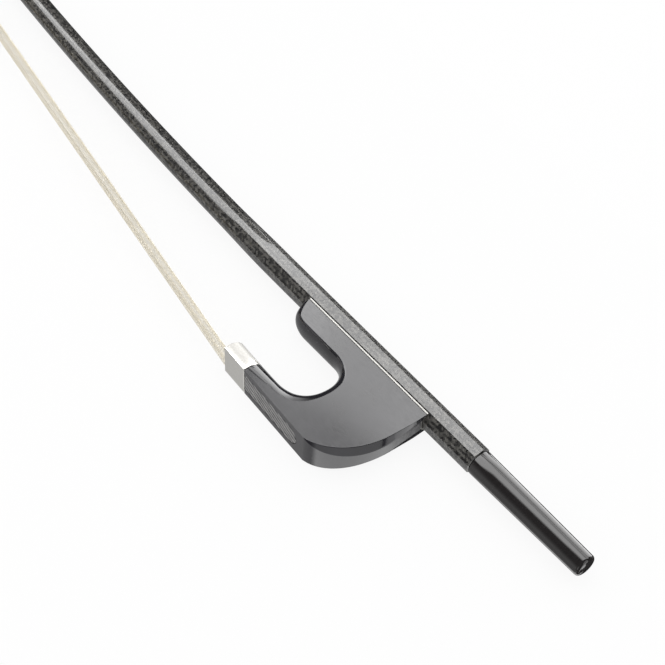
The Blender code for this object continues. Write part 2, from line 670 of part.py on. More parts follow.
def slide_shape(grow, depth):
    """A dovetailed strip with a round rear end, on the hair side and into the frog."""
    rings = []
    for level, spread in ((-grow, 0.0), (depth, SLIDE_DOVETAIL)):
        half = SLIDE_WIDTH / 2 + grow + spread
        straight = SLIDE_LENGTH - SLIDE_WIDTH / 2
        start = FIT - 2 * grow
        outline = [(start, half)]
        for k in range(17):
            angle = math.pi * (0.5 - k / 16)
            outline.append((straight + half * math.cos(angle), half * math.sin(angle)))
        outline.append((start, -half))
        rings.append([(x, level, z) for x, z in outline])
    return skin(rings)


def make_arm_pieces(hair_side, finishes):
    """The ferrule and what lies under it and under the slide, from the hair side inwards."""
    outer, inner = arm_outline(0.0), arm_outline(FERRULE_WALL, FERRULE_WALL)
    front = -FERRULE_LENGTH
    rings = [arm_ring(front, outer), arm_ring(-FIT, outer), arm_ring(-FIT, inner),
             arm_ring(front, inner), arm_ring(front, outer)]
    band = skin(rings, closed_ends=False)
    bmesh.ops.remove_doubles(band, verts=band.verts, dist=1e-6)
    piece("ferrule", band, finishes["nickel"], hair_side)

    piece("slide", slide_shape(0.0, SLIDE_THICKNESS), finishes["slide"], hair_side)
    backing = box(FIT, SLIDE_LENGTH - SLIDE_WIDTH / 2 - FIT, SLOT_LIP, SLOT_LIP + BACKING_THICKNESS,
                  BACKING_WIDTH)
    piece("slide_backing", backing, finishes["liner"], hair_side)

    width = FROG_MORTISE_WIDTH - 2 * FIT
    bottom = FROG_MORTISE_DEPTH - FIT
    plug_start = FROG_MORTISE_START + FIT
    plug = box(plug_start, plug_start + PLUG_LENGTH, TAIL_FLOOR, bottom, width)
    piece("frog_plug", plug, finishes["maple"], hair_side)

    wrap = 0.0006
    knot_start = plug_start + PLUG_LENGTH + FIT + wrap + FIT
    knot_end = knot_start + KNOT_LENGTH
    tail_end = -HAIR_TUCK + WEDGE_LENGTH / 2
    low, high = BACKING_LIP, BACKING_LIP + TAIL_THICKNESS
    outline = [(tail_end, low), (knot_end, low), (knot_end, bottom), (knot_start, bottom),
               (knot_start, high), (tail_end, high)]
    knot_width = width - 2 * (FIT + wrap)
    piece("frog_knot", prism(outline, -knot_width / 2, knot_width / 2), finishes["hair"], hair_side)
    band = binding(KNOT_LENGTH, knot_width, wrap)
    piece("frog_knot_binding", band, finishes["thread"], hair_side,
          ((knot_start + knot_end) / 2, (TAIL_FLOOR + bottom) / 2, 0.0))

    seat = tongue_floor() - FIT
    wedge_front = -FERRULE_LENGTH + 0.0018
    wedge = [(wedge_front, seat - WEDGE_THICKNESS), (wedge_front + WEDGE_LENGTH, seat - WEDGE_THICKNESS),
             (wedge_front + WEDGE_LENGTH, seat), (wedge_front, seat - 0.0003)]
    piece("ferrule_wedge", prism(wedge, -WEDGE_WIDTH / 2, WEDGE_WIDTH / 2), finishes["maple"], hair_side)


# Hair

def hair_path():
    """(point, half width) along the ribbon's middle, from the head's mortise to the ferrule."""
    turn = SHAFT_ANGLE - FACE_TURN
    corner = camber_point(CAMBER_ARC, HEAD_DEPTH, HEAD_THROAT)

    def on_face(x, y):
        return corner + Vector((x * math.cos(turn) + y * math.sin(turn),
                                -x * math.sin(turn) + y * math.cos(turn)))

    half = HAIR_THICKNESS / 2
    plate_end = 2 * FIT + LINER_THICKNESS + PLATE_THICKNESS
    root = -HEAD_MORTISE_BACK - FIT - half
    swing = FIT + half
    head_half, frog_half = HAIR_HEAD_WIDTH / 2, HAIR_FROG_WIDTH / 2
    path = [(on_face(root, HAIR_ROOT), head_half)]
    for k in range(5):
        angle = math.radians(90.0 * k / 4)
        spot = on_face(-HEAD_MORTISE_BACK - swing * math.cos(angle), -plate_end - swing * math.sin(angle))
        path.append((spot, head_half))
    mouth = -FROG_BACK + hair_side_point(-FERRULE_LENGTH, 0.0).x
    level = hair_side_point(-FERRULE_LENGTH, FERRULE_WALL + FIT + half).y
    bend = Vector((mouth - TRAVEL_SLACK - 2 * FIT, level))
    path.append((path[-1][0].lerp(bend, 0.12), head_half + (frog_half - head_half) * 0.5))
    path.append((bend, frog_half))
    path.append((Vector((mouth + HAIR_TUCK, level)), frog_half))
    return path


def make_hair(bow, hair):
    """A thin ribbon with rounded edges, square to its path."""
    path = hair_path()
    rings = []
    for k, (spot, half_width) in enumerate(path):
        before, after = path[max(k - 1, 0)][0], path[min(k + 1, len(path) - 1)][0]
        ahead = (after - before).normalized()
        up = Vector((-ahead.y, ahead.x))
        ring = []
        for step in range(12):
            angle = math.tau * step / 12
            rise = (HAIR_THICKNESS / 2) * max(-1.0, min(1.0, 2.2 * math.sin(angle)))
            across = half_width * max(-1.0, min(1.0, 1.04 * math.cos(angle)))
            edge = spot + up * rise
            ring.append((edge.x, edge.y, across))
        rings.append(ring)
    piece("hair_ribbon", skin(rings), hair, bow, sharp=50.0)


# Screw and button: both turn about the handle's axis

def make_screw(screw_axis, finishes):
    thread_end = -SCREW_REACH + THREAD_LENGTH
    tang_start = SPIGOT_LENGTH + 2 * FIT
    profile = [(-SCREW_REACH, 0.0), (-SCREW_REACH, SCREW_RADIUS * 0.6),
               (-SCREW_REACH + SCREW_RADIUS * 0.5, SCREW_RADIUS), (thread_end, SCREW_RADIUS),
               (thread_end + 0.0004, SCREW_SHANK_RADIUS), (tang_start + 0.001, SCREW_SHANK_RADIUS),
               (tang_start + 0.001, 0.0)]
    screw = piece("screw", turned(profile, SMALL_TURNED_STEPS), finishes["steel"], screw_axis)
    tang = box(tang_start, tang_start + TANG_LENGTH, -TANG_SIDE / 2, TANG_SIDE / 2, TANG_SIDE)
    combine(screw, helper("screw_tang", tang, screw_axis), 'UNION')

    recess_radius, recess_end = SPIGOT_RADIUS + FIT, SPIGOT_LENGTH + FIT
    socket_radius = TANG_SIDE / math.sqrt(2.0) + FIT
    socket_end = tang_start + TANG_LENGTH + FIT
    edge = 0.0004
    profile = [(socket_end, 0.0), (socket_end, socket_radius), (recess_end, socket_radius),
               (recess_end, recess_radius), (FIT, recess_radius), (FIT, BUTTON_FRONT_RADIUS - edge),
               (FIT + edge, BUTTON_FRONT_RADIUS)]
    straight_end = BUTTON_LENGTH - BUTTON_ROUND
    profile += [(straight_end * share, BUTTON_FRONT_RADIUS + (BUTTON_REAR_RADIUS - BUTTON_FRONT_RADIUS)
                 * share) for share in (0.5, 1.0)]
    cap_radius = BUTTON_REAR_RADIUS - BUTTON_ROUND
    for k in range(1, 7):
        angle = math.radians(90.0 * k / 6)
        profile.append((straight_end + BUTTON_ROUND * math.sin(angle),
                        cap_radius + (BUTTON_REAR_RADIUS - cap_radius) * math.cos(angle)))
    profile.append((BUTTON_LENGTH + 0.0003, 0.0))
    piece("button", turned(profile, TURNED_STEPS), finishes["button"], screw_axis, sharp=40.0)


def stand_on_origin(bow):
    """Moves the whole bow so that the middle of its lowest level is at the origin."""
    bpy.context.view_layer.update()
    graph = bpy.context.evaluated_depsgraph_get()
    corners = []
    for thing in bpy.context.scene.objects:
        if thing.type == 'MESH' and not thing.hide_render:
            shape = thing.evaluated_get(graph)
            corners += [shape.matrix_world @ v.co for v in shape.data.vertices]
    low = [min(c[axis] for c in corners) for axis in range(3)]
    high = [max(c[axis] for c in corners) for axis in range(3)]
    bow.location = (-(low[0] + high[0]) / 2, -(low[1] + high[1]) / 2, -low[2])


for old in list(bpy.data.objects):
    bpy.data.objects.remove(old)

FINISHES = {
    "carbon": finish("woven_carbon", (0.045, 0.044, 0.043), 0.22, coat=1.0),
    "frog": finish("black_composite", (0.020, 0.020, 0.021), 0.12, coat=0.6),
    "button": finish("black_button", (0.016, 0.016, 0.016), 0.14, coat=0.6),
    "nickel": finish("nickel_silver", (0.80, 0.79, 0.76), 0.22, metallic=1.0),
    "steel": finish("screw_steel", (0.56, 0.56, 0.55), 0.30, metallic=1.0),
    "brass": finish("eyelet_brass", (0.72, 0.55, 0.27), 0.28, metallic=1.0),
    "slide": finish("grey_slide", (0.20, 0.20, 0.20), 0.35),
    "liner": finish("black_fibre", (0.02, 0.02, 0.02), 0.6),
    "plate": finish("bone_plate", (0.78, 0.74, 0.64), 0.35),
    "maple": finish("maple_wedge", (0.62, 0.46, 0.29), 0.6),
    "hair": finish("horse_hair", (0.80, 0.75, 0.62), 0.55),
    "thread": finish("waxed_thread", (0.55, 0.42, 0.25), 0.7),
}

BOW = empty("bow", None)
STICK = make_stick(BOW, FINISHES["carbon"])
make_head(BOW, STICK, FINISHES)
make_frog(empty("frog_carriage", BOW, (-FROG_BACK, 0.0, 0.0)), FINISHES)
make_hair(BOW, FINISHES["hair"])
make_screw(empty("screw_axis", BOW), FINISHES)
stand_on_origin(BOW)
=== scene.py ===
"""Double bass bow of the underhand kind, dressed for rendering.

The sections follow the bow as it is put together: stick, head, frog, fittings, hair, screw and
button, and then the studio. All sizes are in metres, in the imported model's frame.
"""
import json
import math
import random

import bmesh
import bpy
from mathutils import Matrix, Vector

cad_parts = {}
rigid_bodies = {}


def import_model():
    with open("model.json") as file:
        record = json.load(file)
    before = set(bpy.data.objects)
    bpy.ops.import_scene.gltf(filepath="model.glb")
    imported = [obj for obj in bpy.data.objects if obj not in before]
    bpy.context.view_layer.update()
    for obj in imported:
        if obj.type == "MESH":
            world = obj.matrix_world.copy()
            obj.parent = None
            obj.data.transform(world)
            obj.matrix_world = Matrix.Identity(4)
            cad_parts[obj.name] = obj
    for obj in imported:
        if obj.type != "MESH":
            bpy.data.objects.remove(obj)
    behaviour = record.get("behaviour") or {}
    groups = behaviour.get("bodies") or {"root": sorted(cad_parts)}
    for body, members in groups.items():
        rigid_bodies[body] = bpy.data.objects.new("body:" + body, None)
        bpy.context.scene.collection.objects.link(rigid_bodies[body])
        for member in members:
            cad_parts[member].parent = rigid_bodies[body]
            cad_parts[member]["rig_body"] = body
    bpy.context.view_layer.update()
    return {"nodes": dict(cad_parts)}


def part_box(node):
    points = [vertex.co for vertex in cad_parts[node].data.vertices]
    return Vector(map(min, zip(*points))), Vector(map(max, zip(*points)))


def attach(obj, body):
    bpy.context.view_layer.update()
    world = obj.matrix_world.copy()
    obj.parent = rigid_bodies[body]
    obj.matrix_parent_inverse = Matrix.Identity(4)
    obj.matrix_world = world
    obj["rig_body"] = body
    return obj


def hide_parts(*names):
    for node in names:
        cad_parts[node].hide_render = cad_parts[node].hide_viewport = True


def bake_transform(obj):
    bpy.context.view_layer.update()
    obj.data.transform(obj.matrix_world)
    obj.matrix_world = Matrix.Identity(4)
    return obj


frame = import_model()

nodes = frame["nodes"]


# Stick: a tube of braided carbon fibre under clear lacquer. The handle is an octagon that fades
# into a round shaft, the shaft is cambered away from the hair, and the head is moulded in one
# piece with it. The handle is bored for the screw and slotted for the eyelet.

HANDLE_APOTHEM = 0.00635
HANDLE_LENGTH = 0.141
FADE_LENGTH = 0.037
BUTT_CHAMFER = 0.0004
FLATNESS = 0.97                 # of the handle's facets, which the polishing leaves a little crowned
SHAFT_REAR_RADIUS = 0.0063
SHAFT_HEAD_RADIUS = 0.0042
CAMBER_START = 0.116
CAMBER_RADIUS = 2.5
CAMBER_ARC = 0.552
SPIGOT_RADIUS = 0.0035
SPIGOT_LENGTH = 0.002
HEAD_THROAT = 0.0102
HEAD_DEPTH = 0.0224
HEAD_PEAR = 0.16                # how much wider the head is towards its face
HEAD_RIDGE = 0.7                # how sharp its outer ridge is
FACE_LENGTH = 0.0290
FACE_TURN = math.radians(5.0)
FACE_HALF_WIDTH = 0.0058
MORTISE_LOW = (-0.0186, -0.004, -0.0046)
MORTISE_HIGH = (-0.0078, 0.008, 0.0046)
FIT = 0.0003                    # the play between two pieces
BORE_RADIUS = 0.00205
BORE_REACH = 0.092
SLIDE_AHEAD = 0.0015            # how far the frog can slide towards the head
SLIDE_BACK = 0.0075             # and towards the button
TOW_COUNT = 40                  # carbon tows that run each way round the braid
TOW_SPACING = 0.001             # between two of them, along the stick

screw_low, screw_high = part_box("screw")
button_low, button_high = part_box("button")
axis_y = (screw_low.y + screw_high.y) / 2
axis_z = (screw_low.z + screw_high.z) / 2
butt = Vector((button_low.x - FIT, axis_y, axis_z))


def camber_point(arc, down, ahead=0.0):
    """A point of the middle plane, at a length of arc, `down` towards the hair."""
    angle = arc / CAMBER_RADIUS
    centre = Vector((-CAMBER_START - CAMBER_RADIUS * math.sin(angle),
                     CAMBER_RADIUS * (1.0 - math.cos(angle)), 0.0))
    to_tip = Vector((-math.cos(angle), math.sin(angle), 0.0))
    to_hair = Vector((-math.sin(angle), -math.cos(angle), 0.0))
    return butt + centre + to_tip * ahead + to_hair * down


def curve_points(start, pull_a, pull_b, end, count):
    """Points of a cubic curve, without its first one."""
    a, b, c, d = (Vector(p) for p in (start, pull_a, pull_b, end))
    shares = [k / count for k in range(1, count + 1)]
    return [a * (1 - t) ** 3 + b * 3 * t * (1 - t) ** 2 + c * 3 * t ** 2 * (1 - t) + d * t ** 3
            for t in shares]


# Angles of a section's points: eight to a facet, the last pair close to the facet's edge
FACET_ANGLES = (-22.0, -20.6, -13.0, -4.5, 4.5, 13.0, 20.6, 22.0)
ring_angles = [math.radians(45.0 * facet + turn) for facet in range(8) for turn in FACET_ANGLES]


def stick_ring(outer, inner, half_width, octagon, pear, ridge):
    """The points of a section, between its outer and inner middle points.

    `octagon` gives it eight facets, `pear` widens it towards the hair, and `ridge` sharpens its
    outer side.
    """
    middle, span = (outer + inner) / 2, (outer - inner) / 2
    points = []
    for angle in ring_angles:
        turn = (angle + math.pi / 8) % (math.pi / 4) - math.pi / 8
        reach = 1.0 + octagon * (1.0 / math.cos(turn) - 1.0)
        along, across = reach * math.cos(angle), reach * math.sin(angle)
        across *= (1.0 - pear * along) * abs(math.sin(angle)) ** (ridge * max(0.0, math.cos(angle)))
        points.append(middle + span * along + Vector((0.0, 0.0, half_width * across)))
    return points


def loft(rings):
    """A skin through rings of points, each extruded from the one before: (bmesh, its rows)."""
    bm = bmesh.new()
    row = bmesh.ops.create_circle(bm, cap_ends=False, radius=1.0, segments=len(rings[0]))["verts"]
    edges = list(bm.edges)
    rows = []
    for points in rings:
        if rows:
            grown = bmesh.ops.extrude_edge_only(bm, edges=edges)["geom"]
            fresh = {g for g in grown if isinstance(g, bmesh.types.BMVert)}
            edges = [g for g in grown
                     if isinstance(g, bmesh.types.BMEdge) and fresh.issuperset(g.verts)]
            beside = {e.other_vert(v): v for v in fresh for e in v.link_edges
                      if e.other_vert(v) not in fresh}
            row = [beside[v] for v in row]
        for vert, point in zip(row, points):
            vert.co = point
        rows.append(row)
    return bm, rows


def straight_station(x, radius, octagon):
    """A station of the straight part: its length from the butt, and what its section needs."""
    spot = butt - Vector((x, 0.0, 0.0))
    rise = Vector((0.0, radius, 0.0))
    return x, spot + rise, spot - rise, radius, octagon, 0.0, 0.0


stations = [straight_station(x, SPIGOT_RADIUS, 0.0) for x in (-SPIGOT_LENGTH, 0.0)]
stations.append(straight_station(0.0, HANDLE_APOTHEM - BUTT_CHAMFER, FLATNESS))
handle_steps = [BUTT_CHAMFER + (CAMBER_START - BUTT_CHAMFER) * k / 8 for k in range(9)]
stations += [straight_station(x, HANDLE_APOTHEM, FLATNESS) for x in handle_steps]
facets_end = HANDLE_LENGTH - CAMBER_START
arcs = [facets_end * k / 3 for k in (1, 2, 3)]
arcs += [facets_end + FADE_LENGTH * k / 12 for k in range(1, 13)]
arcs += [arcs[-1] + (CAMBER_ARC - arcs[-1]) * k / 40 for k in range(1, 41)]
for arc in arcs:
    fade = min(1.0, max(0.0, (arc - facets_end) / FADE_LENGTH))
    taper = max(0.0, (arc - facets_end - FADE_LENGTH) / (CAMBER_ARC - facets_end - FADE_LENGTH))
    round_radius = SHAFT_REAR_RADIUS + (SHAFT_HEAD_RADIUS - SHAFT_REAR_RADIUS) * taper
    radius = round_radius * fade + HANDLE_APOTHEM * (1.0 - fade)
    stations.append((CAMBER_START + arc, camber_point(arc, -radius), camber_point(arc, radius), radius,
                     FLATNESS * (1.0 - fade * fade * (3.0 - 2.0 * fade)), 0, 0))
# The head's outer and inner lines, from the shaft's end to its face
r = SHAFT_HEAD_RADIUS
face_front = (HEAD_THROAT + FACE_LENGTH * math.cos(FACE_TURN),
              HEAD_DEPTH + FACE_LENGTH * math.sin(FACE_TURN), 0.0)
crown = curve_points((0, -r, 0), (0.0225, -0.0068, 0), (0.0335, 0.0035, 0), face_front, 36)
throat = curve_points((0, r, 0), (0.0095, r, 0), (0.0125, 0.0085, 0), (HEAD_THROAT, HEAD_DEPTH, 0), 36)
for k, (outer, inner) in enumerate(zip(crown, throat), start=1):
    share = k / len(crown)
    half_width = r + (FACE_HALF_WIDTH - r) * share ** 1.4
    length = CAMBER_START + CAMBER_ARC + (outer.length + inner.length) / 2
    stations.append((length, camber_point(CAMBER_ARC, outer.y, outer.x),
                     camber_point(CAMBER_ARC, inner.y, inner.x), half_width, 0,
                     HEAD_PEAR * share, HEAD_RIDGE * share))

# The braid's map: U is the length in metres and V the turn, from 0 to 1
bm, rings = loft([stick_ring(*section) for length, *section in stations])
uv_layer = bm.loops.layers.uv.new("around")
where = {}
for ring, station in zip(rings, stations):
    for k, vert in enumerate(ring):
        where[vert] = (station[0], k)
for face in bm.faces:
    numbers = [where[loop.vert][1] for loop in face.loops]
    wraps = max(numbers) - min(numbers) > 1
    for loop, number in zip(face.loops, numbers):
        turn = (ring_angles[number] - ring_angles[0]) / math.tau
        loop[uv_layer].uv = (where[loop.vert][0], turn + (1.0 if wraps and number == 0 else 0.0))
for end in (rings[0], rings[-1]):
    bm.faces.new(end)


def as_piece(name, bm, material, sharp=30.0):
    """Makes a bmesh into an object with its place in its mesh, smooth but for its sharp edges."""
    bmesh.ops.recalc_face_normals(bm, faces=bm.faces)
    mesh = bpy.data.meshes.new(name)
    bm.to_mesh(mesh)
    bm.free()
    mesh.shade_smooth()
    mesh.set_sharp_from_angle(angle=math.radians(sharp))
    if material:
        mesh.materials.append(material)
    made = bpy.data.objects.new(name, mesh)
    bpy.context.scene.collection.objects.link(made)
    return made


def box_mesh(low, high):
    """A block between two corners."""
    bm = bmesh.new()
    bmesh.ops.create_cube(bm, size=1.0)
    low, high = Vector(low), Vector(high)
    bmesh.ops.scale(bm, verts=bm.verts, vec=high - low)
    bmesh.ops.translate(bm, verts=bm.verts, vec=(low + high) / 2)
    return bm


def carve(piece, cutters, operation='DIFFERENCE'):
    """Cuts closed shapes out of a piece for good, or joins them to it."""
    for cutter in cutters:
        step = piece.modifiers.new("cut", 'BOOLEAN')
        step.operation = operation
        step.solver = 'EXACT'
        step.object = cutter
    bpy.context.view_layer.update()
    graph = bpy.context.evaluated_depsgraph_get()
    carved = bpy.data.meshes.new_from_object(piece.evaluated_get(graph))
    piece.modifiers.clear()
    piece.data = carved
    for cutter in cutters:
        bpy.data.objects.remove(cutter)


def linear(colour):
    """An sRGB hex colour as linear red, green, blue and a full alpha."""
    parts = [int(colour[k:k + 2], 16) / 255 for k in (1, 3, 5)]
    return [c / 12.92 if c <= 0.04045 else ((c + 0.055) / 1.055) ** 2.4 for c in parts] + [1.0]


def add_node(tree, kind, settings=None, links=None):
    """Adds a node: settings are its properties and inputs, links the sockets that feed it."""
    node = tree.nodes.new(kind)
    for name, value in (settings or {}).items():
        if isinstance(name, int) or name in node.inputs:
            node.inputs[name].default_value = value
        else:
            setattr(node, name, value)
    for name, socket in (links or {}).items():
        tree.links.new(socket, node.inputs[name])
    return node


def new_finish(name, **inputs):
    """A Principled material with its plain inputs set: (material, node tree, shader)."""
    material = bpy.data.materials.new(name)
    material.use_nodes = True
    shader = material.node_tree.nodes["Principled BSDF"]
    for key, value in inputs.items():
        shader.inputs[key.replace("_", " ")].default_value = value
    return material, material.node_tree, shader


# Braided carbon under epoxy: two tows over, two under. The tows that lean one way are painted
# lighter than the others, a painted sheen for the light they catch, each float has its own shade,
# and a smooth clear coat lies over them.
carbon, tree, shader = new_finish("braided_carbon_fibre", Roughness=0.5, Specular_IOR_Level=0.2,
                                  Coat_Weight=1.0, Coat_Roughness=0.05, Coat_IOR=1.5)
around = add_node(tree, "ShaderNodeUVMap", {"uv_map": "around"})
waver = add_node(tree, "ShaderNodeTexNoise", {"Scale": 160.0, "Detail": 1.0}, {0: around.outputs[0]})
shift = add_node(tree, "ShaderNodeVectorMath", {"operation": 'SUBTRACT', 1: (0.5, 0.5, 0.5)},
                 {0: waver.outputs[1]})
wavered = add_node(tree, "ShaderNodeVectorMath", {"operation": 'MULTIPLY_ADD', 1: (0.0012, 0.03, 0.0)},
                   {0: shift.outputs[0], 2: around.outputs[0]})
# The tows' numbers, of those that lean left and right, and which of the two lies on top
parts = add_node(tree, "ShaderNodeSeparateXYZ", links={0: wavered.outputs[0]})
along = add_node(tree, "ShaderNodeMath", {"operation": 'DIVIDE', 1: TOW_SPACING}, {0: parts.outputs[0]})
across = add_node(tree, "ShaderNodeMath", {"operation": 'MULTIPLY', 1: TOW_COUNT}, {0: parts.outputs[1]})
left = add_node(tree, "ShaderNodeMath", {"operation": 'ADD'}, {0: along.outputs[0], 1: across.outputs[0]})
right = add_node(tree, "ShaderNodeMath", {"operation": 'SUBTRACT'},
                 {0: along.outputs[0], 1: across.outputs[0]})
tow_l = add_node(tree, "ShaderNodeMath", {"operation": 'FLOOR'}, {0: left.outputs[0]})
tow_r = add_node(tree, "ShaderNodeMath", {"operation": 'FLOOR'}, {0: right.outputs[0]})
step = add_node(tree, "ShaderNodeMath", {"operation": 'SUBTRACT'},
                {0: tow_l.outputs[0], 1: tow_r.outputs[0]})
turn = add_node(tree, "ShaderNodeMath", {"operation": 'FLOORED_MODULO', 1: 4.0}, {0: step.outputs[0]})
on_top = add_node(tree, "ShaderNodeMath", {"operation": 'LESS_THAN', 1: 1.5}, {0: turn.outputs[0]})
# The top tow's number, the place across it, and a number for each of its floats
part_l = add_node(tree, "ShaderNodeMath", {"operation": 'FRACT'}, {0: left.outputs[0]})
part_r = add_node(tree, "ShaderNodeMath", {"operation": 'FRACT'}, {0: right.outputs[0]})
over_l = add_node(tree, "ShaderNodeCombineXYZ", {2: 0.0}, {0: tow_l.outputs[0], 1: part_l.outputs[0]})
over_r = add_node(tree, "ShaderNodeCombineXYZ", {2: 1.0}, {0: tow_r.outputs[0], 1: part_r.outputs[0]})
over = add_node(tree, "ShaderNodeMix", {"data_type": 'VECTOR'},
                {0: on_top.outputs[0], 4: over_r.outputs[0], 5: over_l.outputs[0]})
tow = add_node(tree, "ShaderNodeSeparateXYZ", links={0: over.outputs[1]})
floats = add_node(tree, "ShaderNodeMath", {"operation": 'DIVIDE', 1: 4.0}, {0: step.outputs[0]})
float_number = add_node(tree, "ShaderNodeMath", {"operation": 'ROUND'}, {0: floats.outputs[0]})
float_key = add_node(tree, "ShaderNodeCombineXYZ",
                     links={0: tow.outputs[0], 1: float_number.outputs[0], 2: on_top.outputs[0]})
shade = add_node(tree, "ShaderNodeTexWhiteNoise", {"noise_dimensions": '3D'}, {0: float_key.outputs[0]})
crown_rise = add_node(tree, "ShaderNodeMath", {"operation": 'PINGPONG', 1: 0.5}, {0: tow.outputs[1]})
# Single fibres run along the tow
fibres_at = add_node(tree, "ShaderNodeVectorMath", {"operation": 'MULTIPLY', 1: (3.0, 14.0, 5.0)},
                     {0: over.outputs[1]})
fibres = add_node(tree, "ShaderNodeTexNoise", {"Scale": 1.0, "Detail": 2.0}, {0: fibres_at.outputs[0]})
# Painted sheen: where a tow that leans one way lies on top, its base colour is painted lighter
lean = add_node(tree, "ShaderNodeMath", {"operation": 'MULTIPLY_ADD', 1: 0.25},
                {0: on_top.outputs[0], 2: fibres.outputs[0]})
lit = add_node(tree, "ShaderNodeMath", {"operation": 'MULTIPLY_ADD', 1: 0.75},
               {0: shade.outputs[0], 2: lean.outputs[0]})
level = add_node(tree, "ShaderNodeMapRange", {1: 0.8, 2: 1.4, 3: 0.0, 4: 1.0}, {0: lit.outputs[0]})
tone = add_node(tree, "ShaderNodeValToRGB", links={0: level.outputs[0]})
tone.color_ramp.elements[0].color = linear("#0e0d0d")
tone.color_ramp.elements[1].color = linear("#5f5d59")
tree.links.new(tone.outputs[0], shader.inputs["Base Color"])
relief = add_node(tree, "ShaderNodeBump", {"Strength": 0.5, "Distance": 0.0001},
                  {"Height": crown_rise.outputs[0]})
tree.links.new(relief.outputs[0], shader.inputs["Normal"])

stick = as_piece("carbon_stick", bm, carbon, sharp=40.0)
eyelet_low, eyelet_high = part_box("eyelet")
bore = bmesh.new()
bmesh.ops.create_cone(bore, cap_ends=True, segments=32, radius1=BORE_RADIUS, radius2=BORE_RADIUS,
                      depth=BORE_REACH + 2 * SPIGOT_LENGTH)
bmesh.ops.rotate(bore, verts=bore.verts, matrix=Matrix.Rotation(math.radians(90.0), 3, 'Y'))
bmesh.ops.translate(bore, verts=bore.verts, vec=butt + Vector((SPIGOT_LENGTH - BORE_REACH / 2, 0.0, 0.0)))
slot_low = Vector((eyelet_low.x - SLIDE_AHEAD - FIT, axis_y - 2 * HANDLE_APOTHEM, eyelet_low.z - FIT))
slot_high = Vector((eyelet_high.x + SLIDE_BACK + FIT, eyelet_high.y + FIT, eyelet_high.z + FIT))
face_corner = camber_point(CAMBER_ARC, HEAD_DEPTH, HEAD_THROAT)
face_turn = Matrix.Rotation(FACE_TURN - CAMBER_ARC / CAMBER_RADIUS, 3, 'Z')
mortise = box_mesh(MORTISE_LOW, MORTISE_HIGH)
bmesh.ops.rotate(mortise, verts=mortise.verts, matrix=face_turn)
bmesh.ops.translate(mortise, verts=mortise.verts, vec=face_corner)
openings = {"screw_bore": bore, "eyelet_slot": box_mesh(slot_low, slot_high), "head_mortise": mortise}
carve(stick, [as_piece(name, shape, None) for name, shape in openings.items()])
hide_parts("stick")
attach(stick, "stick")


# Head plate, its liner and the plug: an ivory-coloured plastic plate on black fibre guards the
# head's face, and a maple plug wedges the knot of hair in the mortise behind it.

def eased_copy(node, name, material, width, segments=2, bm=None):
    """A piece made from a CAD node, or from a mesh of its shape, with its edges eased."""
    if bm is None:
        bm = bmesh.new()
        bm.from_mesh(nodes[node].data)
        bmesh.ops.remove_doubles(bm, verts=bm.verts, dist=2e-6)
        bmesh.ops.dissolve_limit(bm, angle_limit=math.radians(0.6), verts=bm.verts, edges=bm.edges)
    edges = [e for e in bm.edges
             if len(e.link_faces) == 2 and e.calc_face_angle() > math.radians(24.0)]
    bmesh.ops.bevel(bm, geom=edges, offset=width, offset_type='OFFSET', affect='EDGES', segments=segments,
                    profile=0.5, material=-1, clamp_overlap=True)
    piece = as_piece(name, bm, material, sharp=50.0)
    # The large faces keep their own direction, so that only the eased edges look round
    weigh = piece.modifiers.new("even_shading", 'WEIGHTED_NORMAL')
    weigh.keep_sharp = True
    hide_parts(node)
    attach(piece, nodes[node]["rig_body"])
    return piece


def grained(tree, shader, scale, detail, dark, light):
    """Colours a finish with a grain between two shades, so many grains to a metre of X, Y and Z."""
    place = add_node(tree, "ShaderNodeTexCoord")
    stretch = add_node(tree, "ShaderNodeMapping", {"Scale": scale}, {0: place.outputs["Object"]})
    grain = add_node(tree, "ShaderNodeTexNoise", {"Scale": 1.0, "Detail": detail}, {0: stretch.outputs[0]})
    tone = add_node(tree, "ShaderNodeValToRGB", links={0: grain.outputs[0]})
    tone.color_ramp.elements[0].color = linear(dark)
    tone.color_ramp.elements[1].color = linear(light)
    tree.links.new(tone.outputs[0], shader.inputs["Base Color"])
    return grain


# Cast imitation ivory: warm white, satin from handling, with faint streaks 1 mm wide
ivory, tree, shader = new_finish("cast_ivory_plastic", Roughness=0.38, Subsurface_Weight=0.1)
grained(tree, shader, (40.0, 900.0, 900.0), 3.0, "#d9cfb6", "#ece6d6")
head_plate = eased_copy("head_plate", "ivory_head_plate", ivory, 0.0002)

# Vulcanised fibre: pressed black paper, matt, with a felted grain of half a millimetre
fibre, tree, shader = new_finish("black_vulcanised_fibre", Roughness=0.65)
grained(tree, shader, (2200.0, 2200.0, 2200.0), 3.0, "#161616", "#2b2a2a")
head_liner = eased_copy("head_liner", "fibre_head_liner", fibre, 0.0001)

# Maple: pale, left raw from the knife, with a close grain 0.7 mm wide and 8 mm long
maple, tree, shader = new_finish("raw_maple", Roughness=0.62)
grained(tree, shader, (120.0, 1500.0, 1500.0), 4.0, "#b58f63", "#d9bb8e")
for node in ("head_plug", "frog_plug", "ferrule_wedge"):
    plug = eased_copy(node, "maple_" + node, maple, 0.0002)


# Frog: one block of black composite, moulded and polished. Its mouth is rounded over all the
# way along, the heel has a crescent chamfer on either side, and the lower arm ends in a tongue
# inside the ferrule.

